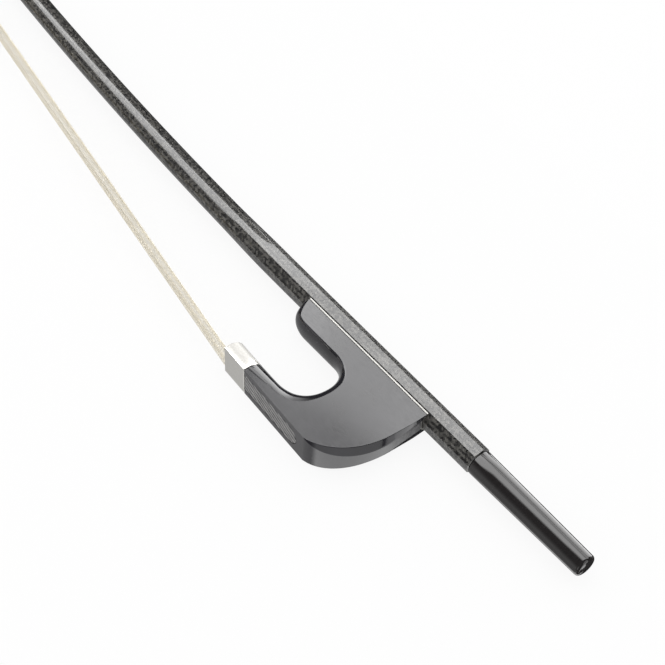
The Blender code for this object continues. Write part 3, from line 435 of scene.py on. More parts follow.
# Polished composite: nearly black resin, with faint clouds 17 mm across and wear from the hand
composite, tree, shader = new_finish("polished_black_composite", Roughness=0.1)
place = add_node(tree, "ShaderNodeTexCoord")
cloud = add_node(tree, "ShaderNodeTexNoise", {"Scale": 60.0, "Detail": 3.0}, {0: place.outputs["Object"]})
tone = add_node(tree, "ShaderNodeValToRGB", links={0: cloud.outputs[0]})
tone.color_ramp.elements[0].position = 0.3
tone.color_ramp.elements[0].color = linear("#1d1c20")
tone.color_ramp.elements[1].position = 0.75
tone.color_ramp.elements[1].color = linear("#29282d")
tree.links.new(tone.outputs[0], shader.inputs["Base Color"])
wear_at = add_node(tree, "ShaderNodeMapping",
                   {"Scale": (300.0, 2600.0, 300.0), "Rotation": (0.0, 0.0, 0.5)},
                   {0: place.outputs["Object"]})
wear = add_node(tree, "ShaderNodeTexNoise", {"Scale": 1.0, "Detail": 4.0}, {0: wear_at.outputs[0]})
gloss = add_node(tree, "ShaderNodeMapRange", {1: 0.4, 2: 0.75, 3: 0.07, 4: 0.15}, {0: wear.outputs[0]})
tree.links.new(gloss.outputs[0], shader.inputs["Roughness"])

FROG_LENGTH = 0.0801
FROG_TOP_HALF = 0.0062
HAIR_HALF = 0.00915
HAIR_FLAT = HAIR_HALF - 0.0003  # half the flat of the hair side, inside its slanted edges
FLARE_EVEN = 0.45               # the share of the flare that grows evenly,
FLARE_LATE = 0.55               # and the share that grows faster towards the hair
FLARE_POWER = 2.3
CRADLE_APOTHEM = 0.00745        # the seat for the handle's lower facets
CRADLE_RIM = CRADLE_APOTHEM * math.sqrt(2.0) - FROG_TOP_HALF
NOSE_BULGE = 0.0009
NOSE_RUN = 0.0101
TONGUE_DEPTH = 0.0156
TONGUE_ROUND = 0.0018
MOUTH_END = 0.0390
MOUTH_ROUND = 0.0044
ARM_HEIGHT = 0.0105
ARM_STRAIGHT = 0.00135
HAIR_SIDE_DEPTH = 0.0525
HAIR_SIDE_TURN = math.radians(3.15)
HEEL_REACH = 0.0234
HEEL_TOP = 0.0220
CRESCENT_INSET = 0.0025
BACK_HALF = 0.0033
FERRULE_LENGTH = 0.015
FERRULE_WALL = 0.0006
FERRULE_REAR = 0.0668           # from the frog's rear end
TONGUE_FLOOR = 0.00481
SLIDE_STRAIGHT = 0.0328         # from the ferrule to the start of the slide's round end
SLOT_MOUTH_HALF = 0.0058        # the slide's slot, a dovetail that is wider at its floor
SLOT_FLOOR_HALF = 0.0062
SLOT_DEPTH = 0.0016
SIDE_FOOT = 0.0545              # a little past the frog's lowest corner
SIDE_CUTS = 36                  # strips that follow the flare down the side face
EDGE_STEPS = 16                 # strips from the frog's middle to its side face
RIM_ROUND = 0.0005
EDGE_ROUND = 0.0002
EYELET_PLACE = 0.038            # from the frog's rear end, as the two screws' places are
SCREW_PLACES = (0.010, FROG_LENGTH - 0.010)
HOLE_END = 0.01245              # how far the three holes reach from the handle's axis
FLAT_JOIN = 0.9965              # cosines of the turns within which two faces shade as one, at the
SMOOTH_JOIN = 0.8               # rim of a side and elsewhere

frog_spot = Vector((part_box("frog_body")[1].x, axis_y, axis_z))


def hair_side_point(along, depth):
    """From the ferrule's rear edge: along the hair side, and into the frog."""
    cos, sin = math.cos(HAIR_SIDE_TURN), math.sin(HAIR_SIDE_TURN)
    return Vector((-FERRULE_REAR + along * cos + depth * sin, -HAIR_SIDE_DEPTH - along * sin + depth * cos))


def side_share(y):
    """How deep a point lies on the frog's side: 0 at the stick, 1 at the hair side."""
    return min(1.0, max(0.0, (-y - CRADLE_RIM) / (HAIR_SIDE_DEPTH - CRADLE_RIM)))


def half_width_at(y):
    """Half the frog's thickness, which flares from the stick to the hair side."""
    share = side_share(y)
    return FROG_TOP_HALF + (HAIR_HALF - FROG_TOP_HALF) * (FLARE_EVEN * share
                                                          + FLARE_LATE * share ** FLARE_POWER)


def side_slope(y):
    """How far the frog's side leans towards the stick."""
    rise = FLARE_EVEN + FLARE_LATE * FLARE_POWER * side_share(y) ** (FLARE_POWER - 1.0)
    return (HAIR_HALF - FROG_TOP_HALF) / (HAIR_SIDE_DEPTH - CRADLE_RIM) * rise


def round_edge(reach=90.0):
    """Shares of the way in and of the way across, closer together towards the side face."""
    full = math.radians(reach)
    angles = [full * (k / EDGE_STEPS) ** 0.65 for k in range(EDGE_STEPS + 1)]
    return [((1 - math.cos(a)) / (1 - math.cos(full)), math.sin(a) / math.sin(full)) for a in angles]


def flat_edge(flat, half_width):
    """Straight across to `flat`, then slanting out to the side face."""
    half = EDGE_STEPS // 2
    across = [(0.0, flat / half_width * k / half) for k in range(half + 1)]
    return across + [(k / half, (flat + (half_width - flat) * k / half) / half_width)
                     for k in range(1, half + 1)]


cradle = flat_edge(CRADLE_APOTHEM * math.tan(math.radians(22.5)), FROG_TOP_HALF)
outline = []                    # all round the frog: (middle point, side face's point, edge)
for x in (0.0, -FROG_LENGTH / 2):
    outline.append((Vector((x, -CRADLE_APOTHEM)), Vector((x, -CRADLE_RIM)), cradle))
# Down the front of the tongue and round on to its underside
front, under = -FROG_LENGTH - NOSE_BULGE, -FROG_LENGTH + NOSE_RUN
edge_depth = TONGUE_DEPTH - TONGUE_ROUND
outline.append((Vector((front, -CRADLE_APOTHEM)), Vector((-FROG_LENGTH, -CRADLE_RIM)), cradle))
middles = curve_points((front, -CRADLE_APOTHEM), (front + 0.0002, 0.0025 - TONGUE_DEPTH),
                       (under - 0.0079, -TONGUE_DEPTH), (under, -TONGUE_DEPTH), 24)
sides = curve_points((-FROG_LENGTH, -CRADLE_RIM), (0.0017 - FROG_LENGTH, -(CRADLE_RIM + edge_depth) / 2),
                     (under - 0.0066, -edge_depth), (under - 0.0005, -edge_depth), 24)
outline += [(middle, side, round_edge()) for middle, side in zip(middles, sides)]
# Along the tongue's underside, round the mouth's end and on to the lower arm
middle_turn, side_turn, side_end = -MOUTH_END - 0.0120, -MOUTH_END - 0.0095, -MOUTH_END + MOUTH_ROUND
level = (TONGUE_DEPTH + HAIR_SIDE_DEPTH - ARM_HEIGHT) / 2 - 0.0018
arm, crease = hair_side_point(0.0098, ARM_HEIGHT), hair_side_point(0.0180, 0.0046)
outline.append((Vector((middle_turn, -TONGUE_DEPTH)), Vector((side_turn, -edge_depth)), round_edge()))
middles = curve_points((middle_turn, -TONGUE_DEPTH), (middle_turn + 0.0060, -TONGUE_DEPTH),
                       (-MOUTH_END, -TONGUE_DEPTH - 0.0030), (-MOUTH_END, -level), 24)
sides = curve_points((side_turn, -edge_depth), (side_turn + 0.0060, -edge_depth),
                     (side_end - 0.0006, -edge_depth - 0.0037), (side_end, 0.0005 - level), 24)
outline += [(middle, side, round_edge()) for middle, side in zip(middles, sides)]
middles = curve_points(middles[-1], (-MOUTH_END, -level - 0.0092), arm + Vector((0.0110, -0.0002)), arm, 48)
sides = curve_points(sides[-1], (side_end, -level - 0.0115), (side_end - 0.0039, crease.y + 0.0012),
                     crease, 48)
# The edge's round is shallower where the mouth turns on to the arm
for k, (middle, side) in enumerate(zip(middles, sides), start=1):
    reach = 90.0 - 0.55 * k if k <= 33 else 71.85 + 0.943 * (k - 33)
    outline.append((middle, side, round_edge(reach)))
# The lower arm, whose top grows into the ferrule's round, and its flat end
arm_top, arm_side = hair_side_point(0.0, ARM_HEIGHT), hair_side_point(0.0, ARM_STRAIGHT)
for k in range(1, 17):
    outline.append((arm.lerp(arm_top, k / 16), crease.lerp(arm_side, k / 16), round_edge(86.0 + 0.25 * k)))
# Back along the flat hair side, then up the heel between its two crescent chamfers
hair_front = hair_side_point(0.0, 0.0)
outline.append((hair_front, hair_front, flat_edge(HAIR_FLAT, HAIR_HALF)))
foot = hair_side_point((FERRULE_REAR - HEEL_REACH) / math.cos(HAIR_SIDE_TURN), 0.0)
drop = -HEEL_TOP - foot.y
heel = []
for k in range(49):
    angle = math.radians(90.0 * (1.0 - k / 48))
    spot = Vector((-HEEL_REACH + HEEL_REACH * math.cos(angle), -HEEL_TOP - drop * math.sin(angle)))
    inward = Vector((-math.cos(angle) * drop, math.sin(angle) * HEEL_REACH)).normalized()
    heel.append((spot, inward, 0.7 * k / 48))
for rise in (0.25, 0.5, 0.75):
    spot = Vector((0.0, -HEEL_TOP + (HEEL_TOP - CRADLE_APOTHEM) * rise))
    heel.append((spot, Vector((-1.0, 0.0)), 0.7 + 0.3 * rise))
for spot, inward, share in heel:
    side = spot + inward * CRESCENT_INSET * math.sin(math.pi * share ** 0.7) ** 1.3
    flat = BACK_HALF + (HAIR_FLAT - BACK_HALF) * max(0.0, 1.0 - share / 0.6) ** 1.6
    outline.append((spot, side, flat_edge(flat, half_width_at(side.y))))

# Half the shell is lofted outwards to the rim of the side face, which is cut to follow the flare
rings = []
for k in range(EDGE_STEPS + 1):
    rings.append([])
    for middle, side, edge in outline:
        spot = middle.lerp(side, edge[k][0])
        rings[-1].append((spot.x, spot.y, edge[k][1] * half_width_at(side.y)))
shell, rows = loft(rings)
bands = [shell.faces.new(rows[-1])]
for number in range(1, SIDE_CUTS):
    # Not quite on the even places, so that no cut runs through a point of the rim
    depth = CRADLE_RIM + (SIDE_FOOT - CRADLE_RIM) * (number + 0.013) / SIDE_CUTS
    geom = bands + [v for f in bands for v in f.verts] + [e for f in bands for e in f.edges]
    split = bmesh.ops.bisect_plane(shell, geom=list(dict.fromkeys(geom)), dist=1e-7,
                                   plane_co=(0.0, -depth, 0.0), plane_no=(0.0, 1.0, 0.0))
    bands = [g for g in split["geom"] if isinstance(g, bmesh.types.BMFace)]
for vert in {v for face in bands for v in face.verts}:
    vert.co.z = half_width_at(vert.co.y)
bmesh.ops.mirror(shell, geom=list(shell.verts) + list(shell.edges) + list(shell.faces), axis='Z',
                 merge_dist=1e-6)
bmesh.ops.translate(shell, verts=shell.verts, vec=frog_spot)


def arm_outline(inset, floor, steps):
    """The lower arm's D section in depth and Z, from one foot over the top to the other."""
    radius, height = HAIR_HALF - inset, ARM_HEIGHT - ARM_STRAIGHT - inset
    start = math.asin((floor - ARM_STRAIGHT) / height) if floor > ARM_STRAIGHT else 0.0
    angles = [start + (math.pi - 2 * start) * k / steps for k in range(steps + 1)]
    points = [(ARM_STRAIGHT + height * math.sin(a), radius * math.cos(a)) for a in angles]
    return points if start else [(floor, radius)] + points + [(floor, -radius)]


def from_hair_side(bm):
    """Moves a shape from the hair side's own directions to its place on the frog."""
    bmesh.ops.rotate(bm, verts=bm.verts, matrix=Matrix.Rotation(-HAIR_SIDE_TURN, 3, 'Z'))
    bmesh.ops.translate(bm, verts=bm.verts, vec=frog_spot + Vector((-FERRULE_REAR, -HAIR_SIDE_DEPTH, 0.0)))
    return bm


def capped(rings):
    """A closed shape through rings of points."""
    bm, rows = loft(rings)
    bm.faces.new(rows[0])
    bm.faces.new(rows[-1])
    return bm


def bored(ahead, start, end, wide, narrow):
    """A round hole that runs from the handle into the frog."""
    bm = bmesh.new()
    bmesh.ops.create_cone(bm, cap_ends=True, segments=24, radius1=wide, radius2=narrow, depth=end - start)
    bmesh.ops.rotate(bm, verts=bm.verts, matrix=Matrix.Rotation(math.radians(90.0), 3, 'X'))
    bmesh.ops.translate(bm, verts=bm.verts, vec=frog_spot + Vector((-ahead, -(start + end) / 2, 0.0)))
    return bm


slot_rings = []
for depth, half in ((-FIT, SLOT_MOUTH_HALF), (SLOT_DEPTH, SLOT_FLOOR_HALF)):
    ends = [math.pi * (0.5 - k / 24) for k in range(25)]
    slot_rings.append([(-FIT, depth, half)]
                      + [(SLIDE_STRAIGHT + half * math.cos(a), depth, half * math.sin(a)) for a in ends]
                      + [(-FIT, depth, -half)])
tongue_section = arm_outline(FERRULE_WALL + FIT, TONGUE_FLOOR, 40)
tongue = capped([[(x, depth, z) for depth, z in tongue_section]
                 for x in (0.002, 2 * FIT - FERRULE_LENGTH)])
frog = as_piece("composite_frog", shell, composite)
carve(frog, [as_piece("ferrule_tongue", from_hair_side(tongue), None)], 'UNION')
cuts = [
    ("slide_slot", from_hair_side(capped(slot_rings))),
    ("backing_slot", from_hair_side(box_mesh((-0.001, 0.0006, -0.0053), (SLIDE_STRAIGHT, 0.0029, 0.0053)))),
    ("hair_channel", from_hair_side(box_mesh((-0.001, 0.0013, -0.0049), (0.0158, 0.0041, 0.0049)))),
    ("knot_mortise", from_hair_side(box_mesh((0.0148, 0.0013, -0.0049), (0.0258, 0.0085, 0.0049)))),
    ("eyelet_hole", bored(EYELET_PLACE, 0.00535, HOLE_END, 0.002, 0.002)),
]
for ahead in SCREW_PLACES:
    cuts.append(("head_seat", bored(ahead, 0.0061, 0.00735, 0.0018, 0.00115)))
    cuts.append(("shank_hole", bored(ahead, 0.0073, HOLE_END, 0.00115, 0.00115)))
carve(frog, [as_piece(name, shape, None) for name, shape in cuts])


def on_side(face):
    """Whether a face belongs to one of the frog's two flared sides."""
    return all(abs(abs(v.co.z - axis_z) - half_width_at(v.co.y - axis_y)) < 5e-6 for v in face.verts)


# The rims of the sides are eased, then the other edges
bm = bmesh.new()
bm.from_mesh(frog.data)
bmesh.ops.remove_doubles(bm, verts=bm.verts, dist=1e-6)
bmesh.ops.dissolve_degenerate(bm, edges=bm.edges, dist=1e-6)
bmesh.ops.recalc_face_normals(bm, faces=bm.faces)
eased = bm.faces.layers.int.new("eased")
for width, rims in ((RIM_ROUND, True), (EDGE_ROUND, False)):
    edges = [e for e in bm.edges if len(e.link_faces) == 2 and e.calc_face_angle() > math.radians(26.0)
             and (not rims or sum(on_side(f) for f in e.link_faces) == 1)]
    made = bmesh.ops.bevel(bm, geom=edges, offset=width, offset_type='OFFSET', affect='EDGES',
                           segments=4 if rims else 2, profile=0.5, material=-1, clamp_overlap=True)
    for face in made["faces"]:
        face[eased] = 1
bm.normal_update()
# Each corner looks the way its smooth neighbours do, weighted by area, and the sides keep their own
on_sides = {face for face in bm.faces if on_side(face)}
normals = []
for face in bm.faces:
    for vert in (loop.vert for loop in face.loops):
        near = []
        for other in vert.link_faces:
            joins = (face in on_sides) != (other in on_sides) and not face[eased] and not other[eased]
            if other.normal.dot(face.normal) > (FLAT_JOIN if joins else SMOOTH_JOIN):
                near.append(other)
        lean = side_slope(vert.co.y - axis_y)
        mean = sum((other.normal * other.calc_area() for other in near), Vector())
        if any(other in on_sides for other in near):
            mean = Vector((0.0, lean, math.copysign(1.0, vert.co.z - axis_z)))
        elif mean.y > 0.0:
            # The arm's round top takes the side's lean over without a break
            mean.y = math.hypot(mean.y, lean * mean.z)
        normals.append(mean.normalized() if mean.length else face.normal)
bm.faces.layers.int.remove(eased)
bm.to_mesh(frog.data)
bm.free()
frog.data.shade_smooth()
frog.data.normals_split_custom_set(normals)
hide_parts("frog_body")
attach(frog, nodes["frog_body"]["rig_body"])


# Ferrule and underslide: nickel silver, bent and polished. The ferrule is a half-round band that
# spreads the hair, and the underslide lines the frog where it rides on the handle.

# Polished nickel silver: a warm white metal, with rubbing marks 0.3 mm wide along its length
nickel, tree, shader = new_finish("polished_nickel_silver", Metallic=1.0, Roughness=0.2)
rubbed = grained(tree, shader, (90.0, 3000.0, 3000.0), 4.0, "#dad8d3", "#e9e7e2")
gloss = add_node(tree, "ShaderNodeMapRange", {1: 0.3, 2: 0.8, 3: 0.26, 4: 0.4}, {0: rubbed.outputs[0]})
tree.links.new(gloss.outputs[0], shader.inputs["Roughness"])
outer, inner = arm_outline(0.0, 0.0, 48), arm_outline(FERRULE_WALL, FERRULE_WALL, 48)
corners = ((-FERRULE_LENGTH, outer), (-FIT, outer), (-FIT, inner), (-FERRULE_LENGTH, inner),
           (-FERRULE_LENGTH, outer))
band, rows = loft([[(x, depth, z) for depth, z in section] for x, section in corners])
bmesh.ops.remove_doubles(band, verts=band.verts, dist=1e-6)
ferrule = eased_copy("ferrule", "nickel_ferrule", nickel, 0.00018, segments=3, bm=from_hair_side(band))

# Dulled nickel silver: the same metal, greyed by rubbing on the handle, its marks 0.4 mm wide
dulled, tree, shader = new_finish("dulled_nickel_silver", Metallic=1.0, Roughness=0.45)
grained(tree, shader, (150.0, 2500.0, 2500.0), 3.0, "#7b7a77", "#91908d")
underslide = eased_copy("underslide", "nickel_underslide", dulled, 0.0002, segments=4)


# Slide and its backing: a dovetailed inlay of grey figured plastic that closes the hair's
# channel, on a strip of black fibre.

# Figured plastic: slanting silver-grey fibres under a polish
figured, tree, shader = new_finish("grey_figured_plastic", Roughness=0.22)
place = add_node(tree, "ShaderNodeTexCoord")
slant = add_node(tree, "ShaderNodeMapping", {"Rotation": (0.0, math.radians(66.0), 0.0)},
                 {0: place.outputs["Object"]})
# Bands 2.4 mm apart, wavy and broken up along their length
bands = add_node(tree, "ShaderNodeTexWave", {"bands_direction": 'X', "Scale": 130.0, "Distortion": 2.4,
                                             "Detail": 1.0, "Detail Scale": 3.0}, {0: slant.outputs[0]})
drawn = add_node(tree, "ShaderNodeMapping", {"Scale": (1500.0, 900.0, 260.0)}, {0: slant.outputs[0]})
fine = add_node(tree, "ShaderNodeTexNoise", {"Scale": 1.0, "Detail": 2.0}, {0: drawn.outputs[0]})
figure = add_node(tree, "ShaderNodeMath", {"operation": 'MULTIPLY'},
                  {0: bands.outputs[1], 1: fine.outputs[0]})
tone = add_node(tree, "ShaderNodeValToRGB", links={0: figure.outputs[0]})
tone.color_ramp.elements[0].position = 0.1
tone.color_ramp.elements[0].color = linear("#19181b")
tone.color_ramp.elements[1].position = 0.36
tone.color_ramp.elements[1].color = linear("#8b8988")
tree.links.new(tone.outputs[0], shader.inputs["Base Color"])
slide = eased_copy("slide", "figured_slide", figured, 0.0001)
backing = eased_copy("slide_backing", "fibre_slide_backing", fibre, 0.0001)


# Eyelet and screws: the eyelet is a bored brass block on a shank that screws into the frog, and
# two small steel screws hold the underslide.

# Milled brass: yellow, with tool marks a quarter of a millimetre apart
brass, tree, shader = new_finish("milled_brass", Metallic=1.0, Roughness=0.3)
grained(tree, shader, (4000.0, 300.0, 300.0), 2.0, "#b48a48", "#d9b36c")
eyelet = eased_copy("eyelet", "brass_eyelet", brass, 0.0001)

# Turned steel: grey, with rings from the lathe 0.2 mm apart
steel, tree, shader = new_finish("turned_steel", Metallic=1.0, Roughness=0.32)
grained(tree, shader, (5000.0, 200.0, 200.0), 2.0, "#9b9a97", "#c9c8c5")
for node in ("liner_screw_front", "liner_screw_rear"):
    fixing = eased_copy(node, "steel_" + node, steel, 0.00004)


# Hair: a flat ribbon of several hundred horsehairs, knotted in the head, spread to its full width by
# the ferrule and tied again in the frog.

STRAND_COUNT = 420
STRAND_RADIUS = 0.00011
HAIR_FROG_HALF = 0.0079
HAIR_HEAD_HALF = 0.0040
HAIR_DEPTH = 0.0008
HAIR_LIFT = 0.00045             # from the ribbon's lowest face to its middle
HAIR_EXIT = -0.00855            # where the hair comes out of the head's mortise
FREE_STEPS = 10

hair_low, hair_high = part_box("hair_ribbon")
ferrule_low, ferrule_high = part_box("ferrule")

# Horsehair: bleached to a cream, each strand its own shade, with a soft sheen
horsehair, tree, shader = new_finish("bleached_horsehair", Roughness=0.5)
strand_uv = add_node(tree, "ShaderNodeUVMap", {"uv_map": "strand"})
strand_parts = add_node(tree, "ShaderNodeSeparateXYZ", links={0: strand_uv.outputs[0]})
tone = add_node(tree, "ShaderNodeValToRGB", links={0: strand_parts.outputs[0]})
tone.color_ramp.elements[0].color = linear("#fbf3df")
tone.color_ramp.elements[1].color = linear("#fffdf8")
tree.links.new(tone.outputs[0], shader.inputs["Base Color"])


def on_face(x, y):
    """A point from the rear corner of the head's face, in the face's own directions."""
    return face_corner + face_turn @ Vector((x, y, 0.0))


def strand_mesh():
    """An empty mesh that can hold a shade for each strand."""
    bm = bmesh.new()
    bm.loops.layers.uv.new("strand")
    return bm


def join_strand(bm, strand, shade):
    """Gives a strand its own shade and adds it to a bundle."""
    uv_layer = strand.loops.layers.uv["strand"]
    for face in strand.faces:
        for loop in face.loops:
            loop[uv_layer].uv = (shade, 0.5)
    bmesh.ops.recalc_face_normals(strand, faces=strand.faces)
    mesh = bpy.data.meshes.new("strand")
    strand.to_mesh(mesh)
    strand.free()
    bm.from_mesh(mesh)
    bpy.data.meshes.remove(mesh)


root = on_face(HAIR_EXIT, 0.0034)
lip = on_face(HAIR_EXIT, -0.0027)
edge = on_face(MORTISE_HIGH[0], -0.00345)
bend = Vector((ferrule_low.x - 0.0021, hair_low.y + HAIR_LIFT, axis_z))
tail = Vector((hair_high.x - 0.0002, hair_low.y + HAIR_LIFT, axis_z))
draw = random.Random(4)
bm = strand_mesh()
for number in range(STRAND_COUNT):
    across = draw.uniform(-1.0, 1.0)
    depth = draw.uniform(-0.5, 0.5) * HAIR_DEPTH * math.sqrt(max(0.05, 1.0 - across ** 6))
    drift = draw.uniform(-0.03, 0.03)
    sag = draw.uniform(-0.0002, 0.0002)
    shade = draw.random()
    path = [spot + Vector((depth * 0.4, depth * 0.3, across * HAIR_HEAD_HALF))
            for spot in (root, lip, edge)]
    for k in range(1, FREE_STEPS + 1):
        share = k / FREE_STEPS
        half = HAIR_HEAD_HALF + (HAIR_FROG_HALF - HAIR_HEAD_HALF) * (1.0 - (1.0 - share) ** 2.2)
        bow_out = math.sin(math.pi * share)
        spot = edge.lerp(bend, share)
        path.append(spot + Vector((0.0, depth + sag * bow_out, (across + drift * bow_out) * half)))
    path.append(tail + Vector((draw.uniform(-0.002, 0.0), depth, across * HAIR_FROG_HALF)))
    strand = strand_mesh()
    tip = bmesh.ops.create_circle(strand, cap_ends=True, segments=3,
                                  radius=STRAND_RADIUS * draw.uniform(0.8, 1.25))["verts"]
    bmesh.ops.rotate(strand, verts=tip, matrix=Matrix.Rotation(math.radians(90.0), 3, 'Y'))
    bmesh.ops.translate(strand, verts=tip, vec=path[0])
    cap = strand.faces[:][0]
    for one, two in zip(path, path[1:]):
        grown = bmesh.ops.extrude_face_region(strand, geom=[cap], use_keep_orig=cap.index == 0)["geom"]
        cap = [g for g in grown if isinstance(g, bmesh.types.BMFace)][0]
        bmesh.ops.translate(strand, verts=list(cap.verts), vec=two - one)
    join_strand(bm, strand, shade)
hair = as_piece("horsehair_ribbon", bm, horsehair, sharp=80.0)
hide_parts("hair_ribbon")
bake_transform(hair)


# Knots: each end of the hank is doubled into a hard bundle of strands and tied with waxed linen
# thread, in three close turns. The frog's knot has a flat tail that runs on to the ferrule.

THREAD_RADIUS = 0.00018
THREAD_PITCH = 0.00034
THREAD_TURNS = 3
THREAD_STEPS = 96
THREAD_CORNER = 0.0004          # the round that it takes at a knot's corners
KNOT_STRAND_RADIUS = 0.0002      # several hairs drawn as one

# Waxed linen: brown and dull, flecked every half millimetre where the yarn twists
thread, tree, shader = new_finish("waxed_linen_thread", Roughness=0.55)
grained(tree, shader, (1800.0, 1800.0, 1800.0), 3.0, "#7d6238", "#b8996a")


def from_head_face(bm):
    """Moves a shape from the directions of the head's face to its place."""
    bmesh.ops.rotate(bm, verts=bm.verts, matrix=face_turn)
    bmesh.ops.translate(bm, verts=bm.verts, vec=face_corner)
    return bm


def fill_with_strands(bm, low, high, axis):
    """Fills a block with parallel strands along X (axis 0) or Y (axis 1), each a little uneven."""
    cross = 1 - axis
    counts = [max(2, round((high[k] - low[k]) / (2 * KNOT_STRAND_RADIUS))) for k in (cross, 2)]
    for row in range(counts[0]):
        for column in range(counts[1]):
            ends = [low[axis] + draw.uniform(0.0, 0.0002), high[axis] - draw.uniform(0.0, 0.0002)]
            middle = Vector((0.0, 0.0, 0.0))
            middle[axis] = sum(ends) / 2
            for k, number, count in ((cross, row, counts[0]), (2, column, counts[1])):
                step = (high[k] - low[k]) / count
                middle[k] = low[k] + step * (number + 0.5)
            strand = strand_mesh()
            bmesh.ops.create_cone(strand, cap_ends=True, segments=6, radius1=KNOT_STRAND_RADIUS,
                                  radius2=KNOT_STRAND_RADIUS, depth=ends[1] - ends[0])
            spin = Matrix.Rotation(math.radians(90.0), 3, 'Y' if axis == 0 else 'X')
            bmesh.ops.rotate(strand, verts=strand.verts, matrix=spin)
            bmesh.ops.translate(strand, verts=strand.verts, vec=middle)
            join_strand(bm, strand, draw.random())


def wound_thread(half_length, half_width):
    """Turns of thread round a knot, wound along Y."""
    corners = [Vector(c) for c in ((half_length, half_width), (-half_length, half_width),
                                   (-half_length, -half_width), (half_length, -half_width))]
    path = []
    for k in range(THREAD_STEPS + 1):
        turn = k / THREAD_STEPS * THREAD_TURNS
        side, part = divmod(turn * 4.0, 1.0)
        spot = corners[int(side) % 4].lerp(corners[(int(side) + 1) % 4], part)
        inner = Vector([max(THREAD_CORNER - half, min(half - THREAD_CORNER, place))
                        for place, half in zip(spot, (half_length, half_width))])
        if (spot - inner).length > THREAD_CORNER:
            spot = inner + (spot - inner).normalized() * THREAD_CORNER
        path.append(Vector((spot.x, (turn - THREAD_TURNS / 2) * THREAD_PITCH, spot.y)))
    rings = []
    for k, spot in enumerate(path):
        ahead = (path[min(k + 1, THREAD_STEPS)] - path[max(k - 1, 0)]).normalized()
        out = Vector((0.0, 1.0, 0.0)).cross(ahead).normalized()
        up = ahead.cross(out)
        angles = [math.tau * j / 8 for j in range(8)]
        rings.append([spot + (out * math.cos(a) + up * math.sin(a)) * THREAD_RADIUS for a in angles])
    return capped(rings)


bm = strand_mesh()
fill_with_strands(bm, (-0.0174, 0.0040, -0.0034), (-0.0090, 0.0077, 0.0034), 1)
head_knot = as_piece("hair_head_knot", from_head_face(bm), horsehair, sharp=80.0)
wound = wound_thread(0.0048, 0.0040)
bmesh.ops.translate(wound, verts=wound.verts, vec=(-0.0132, 0.00585, 0.0))
head_binding = as_piece("thread_head_knot_binding", from_head_face(wound), thread)
bm = strand_mesh()
fill_with_strands(bm, (-0.0061, 0.0029, -0.0037), (0.0245, 0.0038, 0.0037), 0)
fill_with_strands(bm, (0.0217, 0.0038, -0.0037), (0.0245, 0.0082, 0.0037), 1)
frog_knot = as_piece("hair_frog_knot", from_hair_side(bm), horsehair, sharp=80.0)
wound = wound_thread(0.0020, 0.0043)
bmesh.ops.translate(wound, verts=wound.verts, vec=(0.0231, 0.00615, 0.0))
frog_binding = as_piece("thread_frog_knot_binding", from_hair_side(wound), thread)
for tied, node, slot in ((head_knot, "head_knot", "horse_hair"), (frog_knot, "frog_knot", "horse_hair"),
                         (head_binding, "head_knot_binding", "waxed_thread"),
                         (frog_binding, "frog_knot_binding", "waxed_thread")):
    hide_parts(node)
    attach(tied, nodes[node]["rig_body"])


# Screw and button: a steel screw with a square tang, driven into a long turned button of black
# composite that the player holds.

BUTTON_LENGTH = 0.0672
BUTTON_FRONT_RADIUS = 0.00637
BUTTON_REAR_RADIUS = 0.00562
BUTTON_ROUND = 0.0016
TANG_HOLE_DEPTH = 0.0224
TANG_HOLE_RADIUS = 0.0026

screw = eased_copy("screw", "steel_screw", steel, 0.0001)

# Turned composite: the frog's resin, with rings from the lathe 0.4 mm apart under the polish
turned_resin, tree, shader = new_finish("turned_black_composite", Roughness=0.08, Specular_IOR_Level=0.42)
lathe_rings = grained(tree, shader, (2400.0, 60.0, 60.0), 3.0, "#201e1e", "#2b2929")
gloss = add_node(tree, "ShaderNodeMapRange", {1: 0.35, 2: 0.7, 3: 0.06, 4: 0.12},
                 {0: lathe_rings.outputs[0]})
tree.links.new(gloss.outputs[0], shader.inputs["Roughness"])

recess = SPIGOT_RADIUS + FIT
profile = [(TANG_HOLE_DEPTH, 0.0), (TANG_HOLE_DEPTH, TANG_HOLE_RADIUS),
           (SPIGOT_LENGTH + FIT, TANG_HOLE_RADIUS), (SPIGOT_LENGTH + FIT, recess), (FIT, recess),
           (FIT, BUTTON_FRONT_RADIUS - 0.0004), (FIT + 0.0001, BUTTON_FRONT_RADIUS - 0.0001),
           (FIT + 0.0004, BUTTON_FRONT_RADIUS)]
straight = BUTTON_LENGTH - BUTTON_ROUND
profile += [(straight * k / 6, BUTTON_FRONT_RADIUS + (BUTTON_REAR_RADIUS - BUTTON_FRONT_RADIUS) * k / 6)
            for k in range(1, 7)]
cap_radius = BUTTON_REAR_RADIUS - BUTTON_ROUND
for k in range(1, 13):
    angle = math.radians(90.0 * k / 12)
    profile.append((straight + BUTTON_ROUND * math.sin(angle),
                    cap_radius + (BUTTON_REAR_RADIUS - cap_radius) * math.cos(angle)))
profile += [(BUTTON_LENGTH + 0.0001, cap_radius * 0.8), (BUTTON_LENGTH + 0.0002, cap_radius * 0.5),
            (BUTTON_LENGTH + 0.0003, 0.0)]
bm = bmesh.new()
verts = [bm.verts.new(butt + Vector((x, 0.0, radius))) for x, radius in profile]
edges = [bm.edges.new(pair) for pair in zip(verts, verts[1:])]
bmesh.ops.spin(bm, geom=verts + edges, cent=butt, axis=(1, 0, 0), angle=math.tau, steps=96, use_merge=True)
bmesh.ops.remove_doubles(bm, verts=bm.verts, dist=1e-6)
button = as_piece("composite_button", bm, turned_resin, sharp=40.0)
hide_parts("button")
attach(button, "screw")


# Studio: white paper under the bow, a large soft box overhead with a window card beside it, and
# dark and grey cards round them, which only reflections see. The camera sees a white surround.

FLOOR_WHITE_SHARE = 0.9         # how far the paper is bleached where it is seen, under its shadows


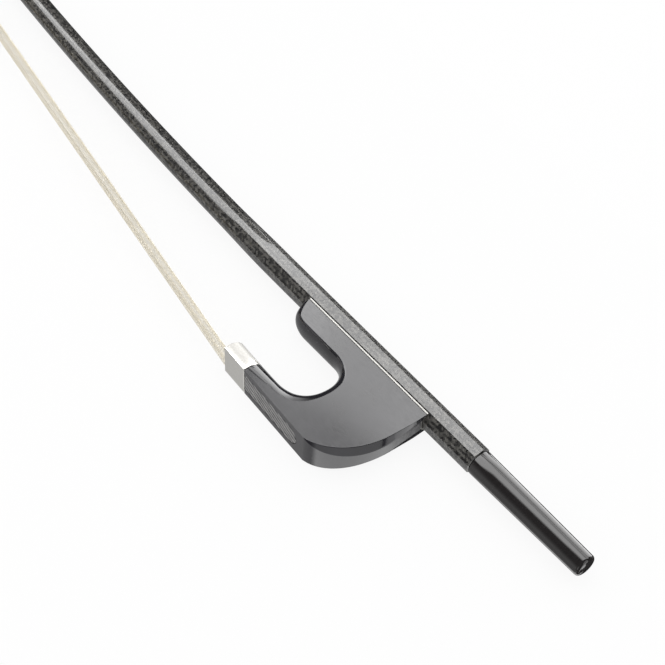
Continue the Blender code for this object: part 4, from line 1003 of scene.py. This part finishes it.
def seen_share(tree):
    """1 for what the camera sees, mirrored and through glass too, and 0 for light on the bow."""
    ray = add_node(tree, "ShaderNodeLightPath")
    seen = add_node(tree, "ShaderNodeMath", {"operation": 'MAXIMUM'},
                    {0: ray.outputs["Is Camera Ray"], 1: ray.outputs["Is Glossy Ray"]})
    seen_through = add_node(tree, "ShaderNodeMath", {"operation": 'MAXIMUM'},
                            {0: seen.outputs[0], 1: ray.outputs["Is Transmission Ray"]})
    return seen_through.outputs[0]


floor_mesh = bmesh.new()
bmesh.ops.create_grid(floor_mesh, x_segments=1, y_segments=1, size=6.0)
paper, tree, shader = new_finish("white_paper", Roughness=0.9)
shader.inputs["Base Color"].default_value = linear("#f2f2f2")
share = add_node(tree, "ShaderNodeMath", {"operation": 'MULTIPLY', 1: FLOOR_WHITE_SHARE},
                 {0: seen_share(tree)})
bleached = add_node(tree, "ShaderNodeEmission", {"Color": (1.0, 1.0, 1.0, 1.0), "Strength": 1.0})
mixed = add_node(tree, "ShaderNodeMixShader",
                 links={0: share.outputs[0], 1: shader.outputs[0], 2: bleached.outputs[0]})
tree.links.new(mixed.outputs[0], tree.nodes["Material Output"].inputs["Surface"])
floor = as_piece("paper_floor", floor_mesh, paper)
floor.location.z = -0.0002
floor.visible_glossy = False

world = bpy.data.worlds.new("white_surround")
bpy.context.scene.world = world
world.use_nodes = True
tree = world.node_tree
surround = tree.nodes["Background"]
surround.inputs["Color"].default_value = (1.0, 1.0, 1.0, 1.0)
# It lights the bow a little less than white
level = add_node(tree, "ShaderNodeMapRange", {1: 0.0, 2: 1.0, 3: 0.9, 4: 1.0}, {0: seen_share(tree)})
tree.links.new(level.outputs[0], surround.inputs["Strength"])

# The studio's own directions: to the right of the picture, away from the camera, and up
to_side = Vector((0.6437, 0.7648, 0.0)).normalized()
to_back = Vector((-to_side.y, to_side.x, 0.0))
upwards = Vector((0.0, 0.0, 1.0))


def studio(side, back, height):
    """A place in the studio's own directions."""
    return to_side * side + to_back * back + upwards * height


def soft_steps(tree, socket, stops):
    """A brightness that eases from stop to stop, each a place from 0 to 1 and a level."""
    ramp = add_node(tree, "ShaderNodeValToRGB", links={0: socket})
    ramp.color_ramp.interpolation = 'EASE'
    for spare in ramp.color_ramp.elements[1:]:
        ramp.color_ramp.elements.remove(spare)
    elements = ramp.color_ramp.elements
    for number, (place, level) in enumerate(stops):
        element = elements.new(place) if number else elements[0]
        element.position = place
        element.color = (level, level, level, 1.0)
    return ramp.outputs[0]


def card(name, corner, along, up, strength, along_stops=(), up_stops=()):
    """A flat card that only reflections see, with a brightness that can ease off to its edges."""
    sheet = bmesh.new()
    lay = sheet.loops.layers.uv.new("card")
    corners = [sheet.verts.new(corner + along * u + up * v) for u, v in ((0, 0), (1, 0), (1, 1), (0, 1))]
    for loop, uv in zip(sheet.faces.new(corners).loops, ((0, 0), (1, 0), (1, 1), (0, 1))):
        loop[lay].uv = uv
    material, tree, shader = new_finish(name, Roughness=1.0, Specular_IOR_Level=0.0)
    shader.inputs["Base Color"].default_value = (0.0, 0.0, 0.0, 1.0)
    shader.inputs["Emission Color"].default_value = (1.0, 1.0, 1.0, 1.0)
    shader.inputs["Emission Strength"].default_value = strength
    on_card = add_node(tree, "ShaderNodeUVMap", {"uv_map": "card"})
    spot = add_node(tree, "ShaderNodeSeparateXYZ", links={0: on_card.outputs[0]})
    eased = [soft_steps(tree, spot.outputs[k], stops)
             for k, stops in enumerate((along_stops, up_stops)) if stops]
    if eased:
        level = add_node(tree, "ShaderNodeMath", {"operation": 'MULTIPLY', 1: strength}, {0: eased[0]})
        if len(eased) == 2:
            level = add_node(tree, "ShaderNodeMath", {"operation": 'MULTIPLY'},
                             {0: level.outputs[0], 1: eased[1]})
        tree.links.new(level.outputs[0], shader.inputs["Emission Strength"])
    made = as_piece(name, sheet, material)
    for kind in ("camera", "diffuse", "transmission", "volume_scatter", "shadow"):
        setattr(made, "visible_" + kind, False)


# The soft box, which falls off to the right past a seam, its wing, and the window beyond them
card("overhead_box", studio(-1.0, -0.3, 0.8), to_side * 2.6, to_side * -0.624 + to_back * 0.97, 6.5,
     ((0.1, 0.0), (0.22, 1.0), (0.59, 1.0), (0.605, 0.88), (0.628, 0.88), (0.64, 1.0), (0.65, 0.82),
      (0.661, 0.36), (0.676, 0.43), (0.7, 0.6), (0.79, 0.62), (1.0, 0.9)),
     ((0.0, 0.0), (0.2, 1.0), (0.58, 1.0), (0.65, 1.13), (0.69, 1.0), (0.73, 1.0), (0.757, 1.3),
      (0.83, 1.36), (1.0, 0.0)))
card("box_wing", studio(-0.06, 0.5, 0.795), to_side * 1.5, to_side * 0.55 + to_back * 0.54, 4.8,
     ((0.0, 0.0), (0.08, 1.0)), ((0.0, 0.0), (0.3, 1.0)))
card("window_card", studio(0.05, 1.0, -0.36), to_side * 2.42, upwards * 1.14, 6.0,
     ((0.0, 0.0), (0.1, 0.35), (0.22, 1.0)))
card("window_sill", studio(0.74, 1.0, -0.52), to_side * 1.73, upwards * 0.16, 6.0)

# Grey cards: the table that the undersides mirror, with two lit parts and a dark gap, and the walls
card("table_card", studio(-3.2, -2.0, -1.0), to_side * 4.05, to_back * 3.7, 0.8,
     ((0.0, 1.0), (0.25, 0.95), (0.45, 0.75), (0.62, 0.69)))
card("near_card", studio(-0.45, -1.05, -0.98), to_side * 1.3, to_back * 0.95, 2.0,
     ((0.0, 0.25), (0.1, 1.0), (0.92, 1.0), (1.0, 0.3)), ((0.0, 0.3), (0.1, 1.0), (0.85, 1.0), (1.0, 0.25)))
card("side_card", studio(0.86, -1.6, -1.0), to_side * 1.5, to_back * 1.2, 2.2,
     ((0.0, 0.7), (0.15, 1.0), (0.85, 1.0), (1.0, 0.7)), ((0.0, 0.5), (0.2, 1.0), (0.85, 1.0), (1.0, 0.5)))
card("table_gap", studio(0.3, -0.26, -0.97), to_side * 0.65, to_back * 0.6, 0.03)
card("near_wall", studio(-1.0, -1.9, -0.5), to_side * 3.4, upwards * 1.2, 1.4,
     ((0.0, 0.3), (0.15, 1.0)), ((0.0, 0.8), (0.2, 1.0), (0.8, 1.0), (1.0, 0.2)))
card("left_wall", studio(-3.2, -2.4, -1.05), to_back * 4.2, upwards * 1.88, 0.9,
     (), ((0.0, 0.95), (0.43, 0.93), (0.7, 0.69), (1.0, 0.36)))
card("right_wall", studio(2.4, -2.4, -1.05), to_back * 3.3, upwards * 1.9, 1.6,
     ((0.0, 1.0), (0.3, 1.0), (0.45, 0.375)), ((0.0, 1.0), (0.5, 1.0), (0.8, 0.1)))

# Dark drapes beyond the table and under it, over the soft box, and behind the camera
card("far_drape", studio(-3.2, 1.7, -2.0), to_side * 5.8, upwards * 4.4, 0.02)
card("floor_drape", studio(-3.2, -3.0, -1.05), to_side * 6.4, to_back * 5.0, 0.03)
card("ceiling_drape", studio(-3.2, -2.4, 0.82), to_side * 5.8, to_back * 3.15, 0.33,
     ((0.0, 1.0), (0.2, 0.6), (0.35, 0.06)))
card("near_drape", studio(-3.2, -2.4, -1.1), to_side * 5.8, upwards * 2.0, 0.2)

# Dark paper behind the stick, flat and upright, which its far facets mirror
behind = Vector((-0.42, axis_y + 0.008, 0.0015))
paper_length = Vector((butt.x - 0.018 - behind.x, 0.0, 0.0))
card("back_paper", behind, paper_length, Vector((0.0, 0.14, 0.0)), 0.08)
card("back_flag", behind + Vector((0.0, 0.027, 0.0)), Vector((0.562, 0.0, 0.0)), upwards * 0.07, 0.05)

# A dark flag that the button's end mirrors, with one light gap
flag_spot = Vector((button_high.x + 0.006, axis_y, axis_z))
card("end_flag", flag_spot + Vector((0.0, -0.012, -0.02)), Vector((0.0, 0.026, 0.0)), upwards * 0.034, 0.05)
card("flag_gap", flag_spot + Vector((-0.0004, -0.0025, -0.0105)), Vector((0.0, 0.0065, 0.0020)),
     upwards * 0.02, 1.9)

# A small paper tent over the ferrule, so that its round top isn't lost against the soft box
tent = Vector((ferrule_low.x - 0.006, ferrule_low.y + 0.0025, ferrule_high.z + 0.004))
tent_length = ferrule_high.x - ferrule_low.x + 0.0026
tent_depth = ferrule_high.y + 0.003 - tent.y
card("tent_top", tent, Vector((tent_length, 0.0, 0.0)), Vector((0.0, tent_depth, 0.0)), 1.1,
     (), ((0.0, 1.0), (0.66, 0.93), (0.7, 0.72), (0.74, 1.3), (1.0, 1.0)))
card("tent_back", tent + Vector((0.0, tent_depth, -0.012)), Vector((tent_length - 0.0022, 0.0, 0.0)),
     upwards * 0.012, 1.1, (), ((0.0, 0.6), (0.3, 0.7), (0.5, 1.2), (1.0, 1.0)))

# One wide lamp lights the surfaces, and isn't itself seen in them
middle = butt + Vector((-0.08, 0.0, 0.0))
lamp_data = bpy.data.lights.new("overhead_lamp", 'AREA')
lamp_data.shape = 'RECTANGLE'
lamp_data.size = 1.1
lamp_data.size_y = 1.1
lamp_data.energy = 2.6
lamp = bpy.data.objects.new("overhead_lamp", lamp_data)
lamp.location = middle + Vector((-0.5, 0.1, 1.25))
lamp.rotation_euler = (lamp.location - middle).to_track_quat('Z', 'Y').to_euler()
lamp.visible_glossy = False
bpy.context.scene.collection.objects.link(lamp)

# The photograph's view, found from the long edges of the handle and the frog
camera_data = bpy.data.cameras.new("photo_camera")
camera_data.sensor_width = 36.0
camera_data.lens = 118.81
camera_data.clip_start = 0.01
camera = bpy.data.objects.new("photo_camera", camera_data)
to_right = Vector((0.6437, 0.7648, 0.0273)).normalized()
to_viewer = Vector((0.4275, -0.3890, 0.8160)).normalized()
to_top = to_viewer.cross(to_right).normalized()
turned = Matrix((to_right, to_top, to_viewer)).transposed().to_4x4()
turned.translation = butt + Vector((0.3298, -0.3890, 0.8054))
camera.matrix_world = turned
bpy.context.scene.collection.objects.link(camera)
bpy.context.scene.camera = camera
bpy.context.scene.view_settings.view_transform = 'Standard'
